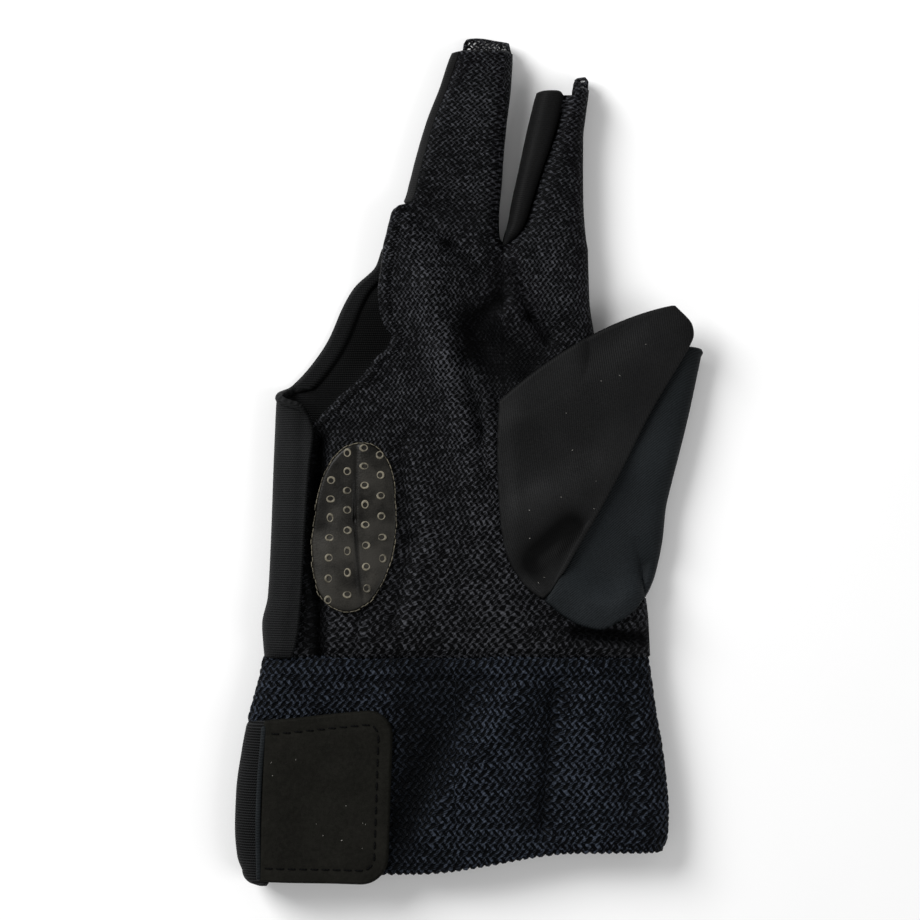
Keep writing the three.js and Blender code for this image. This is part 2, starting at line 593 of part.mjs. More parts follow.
const BACK_END = 1.06; // the row where the back cloth ends and each sleeve's own back begins
const BACK_ROWS = [...steps(WRIST_ROW, 0.52, 9), ...steps(0.555, 0.68, 8), ...steps(0.72, 0.96, 6), 0.98, 1,
  1.03, BACK_END];
function backPanel() {
  return cloth([
    {
      place: backOuter,
      us: [0, 0.1, 0.2, 0.26, 0.32, 0.38, 0.44, 0.5, 0.6, 0.7, 0.8, 0.9, 0.95, 1],
      vs: BACK_ROWS,
      wall: (u, v) => LYCRA_WALL + hemExtra(u, v),
    },
    { place: backInner, us: rowShares(2, 3, 3), vs: BACK_ROWS, wall: evenWall(LYCRA_WALL) },
  ]);
}

// The far layer of the index sleeve, mesh again, which stands a little past the near one.
function indexBack() {
  const first = BACK_END + SEAM_GAP / INDEX_LENGTH;
  const place = (u, v) => {
    const x = acrossRow(u, INDEX.edge(v), INDEX.right(v), hem, turnOf(FINGER_TURN));
    const outer = rise((x - INDEX.side(v)) / FINGER_TURN);
    const slit = rise((INDEX.right(v) - x) / FINGER_TURN);
    const z = KNIT_WALL / 2 + backTurn(outer, v, KNIT_WALL) + backTurn(slit, v, KNIT_WALL);
    return new THREE.Vector3(x, rowY(INDEX, v), z);
  };
  const vs = [...steps(first, 1.2, 4), 1.23, ...steps(1.3, 2, 7), 2 + INDEX_OVERHANG / INDEX_LENGTH];
  return cloth([{ place, us: rowShares(1, 4, 3), vs, wall: evenWall(KNIT_WALL) }]);
}

function middleBack() {
  const first = BACK_END + SEAM_GAP / MIDDLE_LENGTH;
  const place = (u, v) => {
    const walled = ease(MIDDLE_WALL_START - 0.04, MIDDLE_WALL_START, v - 1);
    const inset = (FINGER_TURN + 1.5 * SEAM_GAP) * walled;
    const x = acrossRow(u, MIDDLE.side(v) + inset, MIDDLE.right(v), hem, turnOf(FINGER_TURN));
    const outer = rise((x - MIDDLE.side(v)) / FINGER_TURN);
    const inner = rise((MIDDLE.right(v) - x) / FINGER_TURN);
    const past = Math.max(v - 2, 0) * mix(0.2, 1, ease(0.5, 0.9, u));
    const z = KNIT_WALL / 2 + backTurn(outer, v, KNIT_WALL) + backTurn(inner, v, KNIT_WALL);
    return new THREE.Vector3(x, rowY(MIDDLE, Math.min(v, 2) + past), z);
  };
  const vs = [first, 1.08, 1.11, ...steps(1.16, 2, 8), 2 + MIDDLE_OVERHANG / MIDDLE_LENGTH];
  return cloth([{ place, us: rowShares(1, 4, 3), vs, wall: evenWall(KNIT_WALL) }]);
}

// A sleeve's side wall follows half an ellipse round its outer side. The index's stops where its front
// and its back begin.
function indexGusset() {
  const reach = Math.acos(1 - GUSSET_SHOW / FINGER_TURN);
  const place = (u, v) => {
    const angle = mix(reach, -reach, u);
    const x = INDEX.side(v) + FINGER_TURN * (1 - Math.cos(angle));
    const half = (angle > 0 ? FINGER_TOP - FINGER_HEIGHT / 2 : FINGER_HEIGHT / 2 - KNIT_WALL / 2);
    return new THREE.Vector3(x, rowY(INDEX, v), FINGER_HEIGHT / 2 + half * Math.sin(angle));
  };
  const first = 1 + INDEX_WALL_START;
  return cloth([{ place, us: steps(0, 1, 6), vs: steps(first, 2, 9), wall: evenWall(LYCRA_WALL) }]);
}

// The middle's rolls over from its groove to its side and under to its back.
function middleGusset() {
  const roll = 0.47;
  const place = (u, v) => {
    const left = MIDDLE.side(v);
    const groove = MIDDLE.groove(v) - (LYCRA_WALL + SEAM_GAP) / 2;
    const turn = Math.min(FINGER_TURN, 0.5 * (groove - left));
    const level = mix(middleLevel(v), topLevel(v) - GROOVE_DEPTH, ease(0, 0.12, v - 1));
    const top = topLevel(v) - 0.1 * GROOVE_DEPTH;
    const bottom = LYCRA_WALL / 2;
    const y = rowY(MIDDLE, v);
    if (u < roll) {
      const x = groove - (groove - left - turn) * (1 - Math.cos((u / roll) * Math.PI / 2));
      const lift = rise((groove - x) / (groove - left - turn));
      return new THREE.Vector3(x, y, mix(level, top, lift));
    }
    const angle = Math.PI * (0.5 - (u - roll) / (1 - roll));
    const reach = angle > 0 ? turn : FINGER_TURN;
    const x = left + reach * (1 - Math.cos(angle));
    return new THREE.Vector3(x, y, mix(bottom, top, (1 + Math.sin(angle)) / 2));
  };
  const us = [...steps(0, roll, 5), ...steps(roll, 1, 7).slice(1)];
  return cloth([{ place, us, vs: steps(1 + MIDDLE_WALL_START, 2, 9), wall: evenWall(LYCRA_WALL) }]);
}

// The thumb's own frame: along its fold from the foot of the seam, and beside it to the right.
const thumbFoot = handPoint(FOLD_FOOT);
const thumbAngle = THREE.MathUtils.degToRad(THUMB_ANGLE);
const thumbPoint = (along, beside) => new THREE.Vector2(along, -beside).rotateAround(new THREE.Vector2(), thumbAngle)
  .add(thumbFoot);
const foldBeside = through(THUMB_LAYERS, "along", "fold");
const outerBeside = through(THUMB_LAYERS, "along", "outer");
const tipAlong = through(FLAP_TIP, "up", "along");
const tipBeside = through(FLAP_TIP, "up", "beside");

// The fold edge of the flap, which ends in the rounded tip.
function flapRight(v) {
  const tip = FLAP_TIP[0].up;
  if (v > tip) return thumbPoint(tipAlong(v) * THUMB_LENGTH, tipBeside(v) * THUMB_WIDTH);
  return thumbPoint((v / tip) * THUMB_LENGTH, foldBeside(v / tip) * THUMB_WIDTH);
}

// The flap's edge along the palm, from the foot of the seam up to the web.
const seamRows = WEB_SEAM.map((row, i, all) => ({ ...row, up: i / (all.length - 1) }));
const seamAcross = through(seamRows, "up", "across");
const seamAlong = through(seamRows, "up", "along");
const flapLeft = (v) => handPoint({ across: seamAcross(v), along: seamAlong(v) });

const FOLD_LEVEL = THUMB_HEIGHT - LYCRA_WALL / 2;
const PART_START = 0.07; // shares of the thumb's length between which its two layers come apart
const PART_END = 0.17;
const foldLevel = (v, foot) => mix(foot, FOLD_LEVEL, ease(PART_START, 0.3, v));
const footLevel = palmLevel(thumbFoot.x, thumbFoot.y) + OVER_KNIT;

function thumbFront() {
  const firstRow = 0.03;
  const place = (u, v) => {
    const left = flapLeft(v);
    const right = flapRight(v);
    const flat = left.lerp(right, u);
    flat.y += FLAP_BOW * v ** 3 * 4 * u * (1 - u);
    const seam = palmLevel(flapLeft(v).x, flapLeft(v).y) + OVER_KNIT;
    const level = mix(seam, foldLevel(v, footLevel), ease(0.5, 1, u));
    const away = u * flapLeft(v).distanceTo(right);
    const near = Math.max(1 - ease(FLAP_FREE.start, FLAP_FREE.end, away), ease(0.7, 0.85, v));
    const over = mix(level, Math.max(level, palmLevel(flat.x, flat.y) + OVER_KNIT), near);
    const edge = FLAP_DROOP * (1 - rise((1 - u) / 0.12)) * ease(PART_START, PART_END, v);
    return new THREE.Vector3(flat.x, flat.y, over - edge);
  };
  const us = [...steps(0, 0.88, 9), 0.93, 0.97, 1];
  const vs = [...steps(firstRow, 0.84, 11), 0.88, 0.92, 0.96, 1];
  return cloth([{ place, us, vs, wall: evenWall(LYCRA_WALL) }]);
}

// The far layer: from under the fold, over the inner side, and back along the table to the hand.
// Its first row follows the foot of the seam, and the bow of that row fades out along the thumb.
const footRows = FOOT_SEAM.toReversed().map((row, i, all) => ({ ...row, u: i / (all.length - 1) }));
const footAcross = through(footRows, "u", "across");
const footAlong = through(footRows, "u", "along");
const footPoint = (u) => handPoint({ across: footAcross(u), along: footAlong(u) });
const sideRow = (v) => mix(SIDE_START, SIDE_END, v);
const silhouette = (v) => thumbPoint(sideRow(v) * THUMB_LENGTH, outerBeside(sideRow(v)) * THUMB_WIDTH);

function thumbBack() {
  const overEnd = 0.45;
  const underStart = 0.7;
  const place = (u, v) => {
    const apart = ease(PART_START, PART_END, v);
    const tuck = mix(-2 * SEAM_GAP, TUCK, ease(PART_END, 0.3, v));
    const start = thumbPoint(v * THUMB_LENGTH, foldBeside(v) * THUMB_WIDTH - tuck);
    const end = silhouette(v);
    const closed = sideClosed(end.y / HAND_LENGTH);
    const clear = mix(SEAM_GAP - THUMB_INSET, LYCRA_WALL / 2 + SEAM_GAP, closed);
    const meet = handRight(end.y / HAND_LENGTH) + clear;
    const turn = Math.min(THUMB_TURN, 0.9 * (end.x - meet));
    const share = Math.min(u / overEnd, 1) * (1 - turn / (end.x - start.x));
    const flat = start.clone().lerp(end, share);
    const bowed = footPoint(share).sub(thumbFoot.clone().lerp(footPoint(1), share));
    flat.addScaledVector(bowed, 1 - ease(0, 0.4, v));
    const over = palmLevel(flat.x, flat.y) + OVER_KNIT;
    const top = mix(over, FOLD_LEVEL, ease(PART_START, 0.3, v)) - (FLAP_DROOP + OVER_LYCRA) * apart;
    if (u <= overEnd) return new THREE.Vector3(flat.x, flat.y, top);
    const bottom = LYCRA_WALL / 2;
    const angle = Math.PI * (0.5 - (Math.min(u, underStart) - overEnd) / (underStart - overEnd));
    const x = flat.x + turn * Math.cos(angle);
    const y = mix(flat.y, end.y, ease(overEnd, underStart, u));
    const run = Math.max(u - underStart, 0) / (1 - underStart);
    return new THREE.Vector3(mix(x, meet, run), y, mix(bottom, top, (1 + Math.sin(angle)) / 2));
  };
  const us = [...steps(0, overEnd, 7), ...steps(overEnd, underStart, 7).slice(1), 0.85, 1];
  const vs = [0, 0.03, 0.06, 0.1, 0.14, 0.18, 0.23, ...steps(0.3, 1, 8)];
  return cloth([{ place, us, vs, wall: evenWall(LYCRA_WALL) }]);
}

// The cuff is a knit sleeve whose outer side lies inside the strap, and is lifted where the strap runs under it.
const cuffSide = (value) => {
  const share = through(CUFF_SIDES, "along", value);
  return (v) => share(v) * CUFF_WIDTH;
};
const cuffLeft = cuffSide("left");
const cuffRight = cuffSide("right");
const LIFT_ROWS = { start: STRAP_ROWS.top - 0.12, end: STRAP_ROWS.top - 0.035 };
const underStrap = (v) => ease(LIFT_ROWS.start, LIFT_ROWS.end, v);
const knitLeft = (v) => cuffLeft(v) + STRAP_OUT * underStrap(v);
const strapTurn = SIDE_TURN + STRAP_OUT;
const strapEnd = (v) => cuffLeft(v) + strapTurn + STRAP_LAP;
const strapShare = (x, v) => underStrap(v) * (1 - ease(LIFT_RUN, 2 * LIFT_RUN, x - strapEnd(v)));
const cuffY = (x, v) => -SEAM_GAP / 2 - v * CUFF_LENGTH * (1 - CUFF_RISE * ease(-0.1, 0.3, x / CUFF_WIDTH));

function cuffLevels(x, v) {
  const sides = 2 - rise((x - knitLeft(v)) / SIDE_TURN) - rise((cuffRight(v) - x) / SIDE_TURN);
  const lift = (STRAP_WALL + SEAM_GAP) * strapShare(x, v);
  const middle = (CUFF_HEIGHT + lift) / 2;
  const floor = KNIT_WALL / 2 + lift;
  const y = cuffY(x, v);
  const folds = foldsAt(CUFF_FOLDS, x / CUFF_WIDTH, -y / CUFF_LENGTH, CUFF_WIDTH, CUFF_LENGTH, CUFF_HEIGHT);
  const top = CUFF_TOP - wristGroove(y) + folds * Math.max(1 - sides, 0);
  return {
    front: top - (top - middle - SEAM_GAP / 2) * sides,
    back: floor + (middle - SEAM_GAP / 2 - floor) * sides,
  };
}

function cuffSheet(layer, us, vs) {
  const place = (u, v) => {
    const x = acrossRow(u, knitLeft(v), cuffRight(v), turnOf(SIDE_TURN), turnOf(SIDE_TURN));
    return new THREE.Vector3(x, cuffY(x, v), cuffLevels(x, v)[layer]);
  };
  return cloth([{ place, us, vs: vs.toReversed(), wall: evenWall(KNIT_WALL) }]);
}
const seamRowsOfCuff = [0, 0.05, LIFT_ROWS.start, (LIFT_ROWS.start + LIFT_ROWS.end) / 2, LIFT_ROWS.end];
const cuffFront = () => cuffSheet("front", rowShares(3, 13, 3), [...seamRowsOfCuff, ...steps(0.26, 1, 9)]);
const cuffBack = () => cuffSheet("back", rowShares(3, 12, 3), [...seamRowsOfCuff, ...steps(0.3, 1, 6)]);

// The strap comes from under the tab, round the outer side, and ends under the cuff.
function closureStrap() {
  const overEnd = 0.3;
  const underStart = 0.7;
  const top = CUFF_TOP + STRAP_OUT;
  const bottom = STRAP_WALL / 2;
  const place = (u, v) => {
    const left = cuffLeft(Math.min(v, 1));
    const angle = Math.PI * (0.5 - (clamp(u, overEnd, underStart) - overEnd) / (underStart - overEnd));
    const lap = STRAP_LAP * Math.max(overEnd - u, u - underStart, 0) / overEnd;
    const x = left + strapTurn * (1 - Math.cos(angle)) + lap;
    return new THREE.Vector3(x, -v * CUFF_LENGTH, mix(bottom, top, (1 + Math.sin(angle)) / 2));
  };
  const us = [0, 0.15, ...steps(overEnd, underStart, 9), 0.85, 1];
  const vs = steps(STRAP_ROWS.bottom, STRAP_ROWS.top, 11);
  return cloth([{ place, us, vs, wall: evenWall(STRAP_WALL) }]);
}

// A row of a rounded rectangle: half its width at a share of its length.
function roundedHalf(v, length, width, corner) {
  const fromEnd = Math.min(v, 1 - v) * length;
  return width / 2 - corner * (1 - rise(fromEnd / corner));
}

// The tab lies on the strap at its outer side and on the cuff at its inner side.
const tabMiddle = new THREE.Vector2(TAB_AT.across * CUFF_WIDTH, -TAB_AT.along * CUFF_LENGTH);
function strapTab() {
  const tilt = THREE.MathUtils.degToRad(TAB_TILT);
  const place = (u, v) => {
    const half = roundedHalf(v, TAB_LENGTH, TAB_WIDTH, TAB_CORNER);
    const flat = new THREE.Vector2((2 * u - 1) * half, (v - 0.5) * TAB_LENGTH);
    flat.rotateAround(new THREE.Vector2(), tilt).add(tabMiddle);
    const row = clamp(-flat.y / CUFF_LENGTH, 0, 1);
    const knit = Math.max(flat.x, knitLeft(row) + SIDE_TURN);
    const strap = (STRAP_WALL + SEAM_GAP) * (1 - ease(TAB_DROP.start, TAB_DROP.end, flat.x - strapEnd(row)));
    const level = cuffLevels(knit, row).front + (KNIT_WALL + TAB_WALL) / 2 + SEAM_GAP + strap;
    return new THREE.Vector3(flat.x, flat.y, level);
  };
  const corners = [0, 0.1, 0.3, 0.6, 1].map((share) => (share * TAB_CORNER) / TAB_LENGTH);
  const vs = [...corners, ...steps(0.27, 0.73, 4), ...corners.map((share) => 1 - share).reverse()];
  return cloth([{ place, us: steps(0, 1, 8), vs, wall: evenWall(TAB_WALL) }]);
}

// The pad is an oval patch on the heel of the palm, with columns of raised dots.
const padMiddle = handPoint(PAD_AT);
const padTilt = THREE.MathUtils.degToRad(PAD_TILT);
const onPad = (across, along) => new THREE.Vector2(across, along).rotateAround(new THREE.Vector2(), padTilt)
  .add(padMiddle);
const padLevel = ({ x, y }) => palmLevel(x, y) + (KNIT_WALL + PAD_WALL) / 2 + SEAM_GAP;

function dotPlaces() {
  const columns = steps((1 - DOT_COLUMNS) / 2, (DOT_COLUMNS - 1) / 2, DOT_COLUMNS);
  const rows = steps((1 - DOT_ROWS) / 2, (DOT_ROWS - 1) / 2, DOT_ROWS);
  const inside = (PAD_LENGTH - DOT_DIAMETER) / 2;
  return columns.flatMap((column) => rows.map((row) => ({
    across: column * DOT_COLUMN_PITCH,
    along: row * DOT_ROW_PITCH + column * DOT_SLANT,
  }))).filter(({ across, along }) =>
    Math.hypot(across / (PAD_WIDTH / 2 - DOT_DIAMETER), along / inside) < 1);
}

function palmPad() {
  const end = 0.94;
  const place = (u, v) => {
    const angle = (v - 0.5) * Math.PI * end;
    const half = (PAD_WIDTH / 2) * Math.cos(angle);
    const flat = onPad((2 * u - 1) * half, (PAD_LENGTH / 2) * Math.sin(angle));
    return new THREE.Vector3(flat.x, flat.y, padLevel(flat));
  };
  const patch = cloth([{ place, us: steps(0, 1, 7), vs: steps(0, 1, 15), wall: evenWall(PAD_WALL) }]);
  const depth = DOT_HEIGHT + PAD_WALL;
  const dots = dotPlaces().map(({ across, along }) => {
    const flat = onPad(across, along);
    const dot = new THREE.CylinderGeometry(0.8 * DOT_DIAMETER / 2, DOT_DIAMETER / 2, depth, DOT_SIDES);
    dot.rotateX(Math.PI / 2);
    dot.translate(flat.x, flat.y, padLevel(flat) + DOT_HEIGHT / 2);
    return solidOf(joined(dot));
  });
  return geometryOf(dots.reduce((pad, dot) => pad.add(dot), solidOf(patch)));
}

const part = new THREE.Group();
part.name = "billiard_glove";
const shapes = new THREE.Group();
part.add(shapes);
function add(name, geometry, look) {
  const mesh = new THREE.Mesh(geometry, new THREE.MeshStandardMaterial(look));
  mesh.name = name;
  shapes.add(mesh);
  return mesh;
}

add("palm_knit", palmKnit(), MESH_BLACK);
add("back_panel", backPanel(), LYCRA_BLACK);
add("index_back", indexBack(), MESH_BLACK);
add("middle_back", middleBack(), MESH_BLACK);
add("index_gusset", indexGusset(), LYCRA_BLACK);
add("middle_gusset", middleGusset(), LYCRA_BLACK);
add("thumb_front", thumbFront(), LYCRA_BLACK);
add("thumb_back", thumbBack(), LYCRA_BLACK);
add("cuff_front", cuffFront(), CUFF_BLACK);
add("cuff_back", cuffBack(), CUFF_BLACK);
add("closure_strap", closureStrap(), LYCRA_BLACK);
add("strap_tab", strapTab(), TAB_BLACK);
add("palm_pad", palmPad(), PAD_BLACK);

// The origin is the middle of the box that holds the glove, on the table.
const box = new THREE.Box3().setFromObject(shapes);
shapes.position.set(-(box.min.x + box.max.x) / 2, -(box.min.y + box.max.y) / 2, -box.min.z);

export default part;
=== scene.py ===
"""Dresses the billiard glove: fine cloth, knit, seams, stitches, the closure tab and the studded pad.

Lengths here are in millimetres, measured from the middle of the wrist seam on the table. They become
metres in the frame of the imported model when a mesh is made.
"""

import bpy
import numpy as np
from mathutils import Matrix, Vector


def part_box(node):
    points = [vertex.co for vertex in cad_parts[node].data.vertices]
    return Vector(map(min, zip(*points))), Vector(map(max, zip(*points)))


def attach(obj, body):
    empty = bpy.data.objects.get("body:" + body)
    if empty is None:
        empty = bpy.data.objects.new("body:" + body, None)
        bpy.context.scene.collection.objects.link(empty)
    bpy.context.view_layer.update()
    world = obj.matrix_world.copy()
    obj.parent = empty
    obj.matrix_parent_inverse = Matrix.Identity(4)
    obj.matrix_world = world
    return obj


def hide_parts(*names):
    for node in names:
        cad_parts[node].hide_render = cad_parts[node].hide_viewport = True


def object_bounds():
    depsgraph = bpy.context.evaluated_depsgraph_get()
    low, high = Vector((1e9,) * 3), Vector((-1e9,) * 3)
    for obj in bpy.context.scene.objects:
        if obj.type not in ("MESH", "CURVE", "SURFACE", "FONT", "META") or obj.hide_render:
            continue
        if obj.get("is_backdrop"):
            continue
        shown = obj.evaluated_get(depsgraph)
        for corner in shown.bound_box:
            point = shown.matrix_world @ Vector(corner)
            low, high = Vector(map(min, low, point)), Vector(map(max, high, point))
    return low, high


bl_info = {
    "name": "Billiard glove",
    "version": (1, 0, 0),
    "blender": (4, 5, 0),
    "location": "3D View > Sidebar > Glove",
    "description": "Builds the cloth, knit, stitches and trim of a billiard glove on its packed model",
    "category": "Add Mesh",
}

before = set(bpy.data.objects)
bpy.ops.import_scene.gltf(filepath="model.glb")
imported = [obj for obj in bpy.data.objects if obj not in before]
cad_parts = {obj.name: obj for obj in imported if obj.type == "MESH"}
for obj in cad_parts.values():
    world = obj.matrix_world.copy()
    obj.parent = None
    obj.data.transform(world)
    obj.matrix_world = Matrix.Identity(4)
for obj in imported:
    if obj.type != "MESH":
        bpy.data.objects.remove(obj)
CAD_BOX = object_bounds()
MM = 0.001
TURN = 2 * np.pi
UP = np.array([0, 0, 1.0])

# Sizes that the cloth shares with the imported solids
HAND_LENGTH = 106.0
HAND_WIDTH = 99.0
HAND_HEIGHT = 10.6
SIDE_TURN = 6.0
KNIT_WALL = 1.5
LYCRA_WALL = 1.2
SEAM_GAP = 0.3
HEM_WIDTH = 2.7
UNDERLAP = 4.0
INDEX_LENGTH = 51.0
INDEX_WIDTH = 24.4
INDEX_OVERHANG = 3.2
MIDDLE_LENGTH = 41.0
MIDDLE_WIDTH = 19.7
MIDDLE_OVERHANG = 3.6
FINGER_HEIGHT = 10.0
FINGER_TURN = 4.5
GUSSET_SHOW = 1.8
GROOVE_DEPTH = 2.5
THUMB_LENGTH = 74.3
THUMB_ANGLE = 60.4
THUMB_WIDTH = 22.0
THUMB_HEIGHT = 10.4
THUMB_TURN = 4.6
FLAP_BOW = 3.9
FLAP_DROOP = 0.8
THUMB_INSET = 2.8
TUCK = 2.0
CUFF_LENGTH = 55.6
CUFF_WIDTH = 112.0
CUFF_HEIGHT = 10.6
CUFF_RISE = 0.1
STRAP_WALL = 1.2
STRAP_LAP = 1.0
LIFT_RUN = 9.0
TAB_LENGTH = 42.4
TAB_WIDTH = 33.0
TAB_WALL = 1.6
TAB_CORNER = 6.5
TAB_TILT = -2.0
PAD_WIDTH = 21.6
PAD_WALL = 1.0

# The share of a row's points in each of its ends, and of a finger in which its lines swing over to the hand's
END_SHARE = 0.25
JOIN = 0.1
# An end of a row is its size and whether the cloth turns over there
HEM = (HEM_WIDTH, False)
FINGER_END = (FINGER_TURN, True)
CUFF_END = (SIDE_TURN, True)
# How fine the mesh knit's stitches are against the palm's, across and along: near the wrist, on the fingers
COARSE = (0.58, 0.72)
FINGER = (0.83, 1.3)

# Where the wrist seam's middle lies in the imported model: its top edge and its right side are known.
CUFF_TOP_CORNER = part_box("cuff_front")[1]
ORIGIN = np.array([
    CUFF_TOP_CORNER.x / MM - 0.492 * CUFF_WIDTH - KNIT_WALL / 2,
    CUFF_TOP_CORNER.y / MM + SEAM_GAP / 2,
    0.0,
])


def table(names, *rows):
    """Columns of numbers by name, from rows that hold one number for each name."""
    return dict(zip(names.split(), np.array(rows, float).T))


def fold_table(*rows):
    """Lines from one place to another in millimetres, each with half a width and a height."""
    return table("from_x from_y to_x to_y width depth", *rows)


PALM_EDGE = table(
    "along side edge",
    (0, -0.477, -0.449), (0.03, -0.479, -0.442), (0.12, -0.471, -0.434), (0.254, -0.462, -0.426),
    (0.413, -0.455, -0.418), (0.54, -0.45, -0.405), (0.565, -0.41, -0.372), (0.605, -0.359, -0.329),
    (0.637, -0.325, -0.295), (0.69, -0.263, -0.233), (0.726, -0.237, -0.207), (0.751, -0.203, -0.173),
    (0.788, -0.188, -0.158), (0.812, -0.207, -0.177), (0.844, -0.219, -0.189), (0.893, -0.225, -0.195),
    (0.958, -0.217, -0.187), (1, -0.212, -0.182),
)
HAND_SIDE = table(
    "along right spine",
    (0, 0.507, 0.02), (0.094, 0.502, 0.03), (0.147, 0.495, 0.037), (0.5, 0.428, 0.07),
    (0.79, 0.36, 0.1), (0.875, 0.347, 0.112), (1, 0.343, 0.127),
)
BACK_SIDE = table(
    "along wrap left start turn",
    (0, -0.434, -0.496, 0, 1), (0.03, -0.421, -0.499, 0, 1), (0.078, -0.412, -0.502, 0, 1),
    (0.147, -0.406, -0.487, 0, 1), (0.307, -0.397, -0.478, 0, 1), (0.466, -0.385, -0.472, 0, 1),
    (0.555, -0.374, -0.468, 0, 1), (0.6, -0.374, -0.466, 0.13, 1), (0.635, -0.374, -0.463, 0.3, 0.6),
    (0.665, -0.374, -0.421, 0.5, 0), (0.714, -0.34, -0.373, 0.5, 0), (0.775, -0.3, -0.329, 0.5, 0),
    (0.865, -0.25, -0.286, 0.5, 0), (0.905, -0.22, -0.26, 0.5, 0), (0.958, -0.18, -0.203, 0.5, 0),
    (1, -0.16, -0.187, 0.5, 0),
)
INDEX_SLEEVE = table(
    "along side edge right",
    (0, -0.79, -0.66, 0.57), (0.07, -0.77, -0.645, 0.5), (0.13, -0.74, -0.62, 0.492),
    (0.2, -0.69, -0.57, 0.497), (0.23, -0.49, -0.4, 0.502), (0.353, -0.406, -0.32, 0.527),
    (0.455, -0.352, -0.266, 0.54), (0.66, -0.225, -0.139, 0.58), (0.82, -0.094, -0.008, 0.62),
    (1, 0.037, 0.123, 0.64), (1.07, 0.13, 0.165, 0.61),
)
INDEX_MIDDLE = -0.013
INDEX_WALL_START = 0.245
MIDDLE_SLEEVE = table(
    "along side groove right",
    (0, -0.579, -0.579, 0.508), (0.06, -0.555, -0.44, 0.485), (0.163, -0.492, -0.29, 0.462),
    (0.29, -0.445, -0.2, 0.447), (0.476, -0.36, -0.08, 0.442), (0.71, -0.257, 0.09, 0.444),
    (0.85, -0.19, 0.17, 0.477), (1, -0.11, 0.23, 0.52), (1.09, -0.06, 0.28, 0.53),
)
MIDDLE_MIDDLE = 0.2424
MIDDLE_WALL_START = 0.11
FOLD_FOOT = (0.235, 0.143, 1)
FOOT_SEAM = table(
    "across along lap",
    (0.494, 0.15, -0.2), (0.476, 0.128, -0.2), (0.429, 0.095, 0.6), (0.377, 0.074, 1),
    (0.329, 0.084, 1), (0.288, 0.104, 1), FOLD_FOOT,
)
WEB_SEAM = table(
    "across along lap",
    FOLD_FOOT, (0.2, 0.167, 1), (0.17, 0.199, 1), (0.141, 0.249, 1), (0.127, 0.309, 1),
    (0.118, 0.408, 1), (0.115, 0.518, 1), (0.12, 0.625, 0.7),
)
HOLE_MIDDLE = (0.37, 0.38)
THUMB_LAYERS = table(
    "along fold outer",
    (0, 0, 1), (0.18, 0.02, 0.995), (0.37, 0.03, 0.83), (0.5, 0.02, 0.69), (0.78, -0.02, 0.43), (1, 0, 0.2),
)
SIDE_START = 0.18
SIDE_END = 1.015
FLAP_TIP = table(
    "up along beside",
    (0.84, 1, 0), (0.9, 1.045, -0.01), (0.95, 1.085, -0.1), (1, 1.11, -0.37),
)
CUFF_SIDES = table(
    "along left right",
    (0, -0.441, 0.445), (0.125, -0.454, 0.453), (0.207, -0.466, 0.458), (0.302, -0.478, 0.464),
    (0.45, -0.492, 0.476), (0.627, -0.504, 0.486), (0.804, -0.507, 0.492), (0.93, -0.502, 0.49),
    (1, -0.49, 0.478),
)
TAB_AT = (-0.302, 0.655)
STRAP_ROWS = (0.25, 1.055)
# Where a row of a cloth that wraps round a side leaves the top and where it reaches the bottom
THUMB_PARTS = (0.45, 0.7)
STRAP_PARTS = (0.3, 0.7)
PAD_AT = (-0.268, 0.318)

# How far the index sleeve's back stands past its front at places across it, in millimetres
INDEX_REACH = table(
    "across reach",
    (0.9, 0.0), (2.2, 1.2), (2.9, 4.1), (5.8, 4.6), (11.0, 3.8), (13.5, 3.0), (14.2, 1.9), (14.7, 0.0),
)

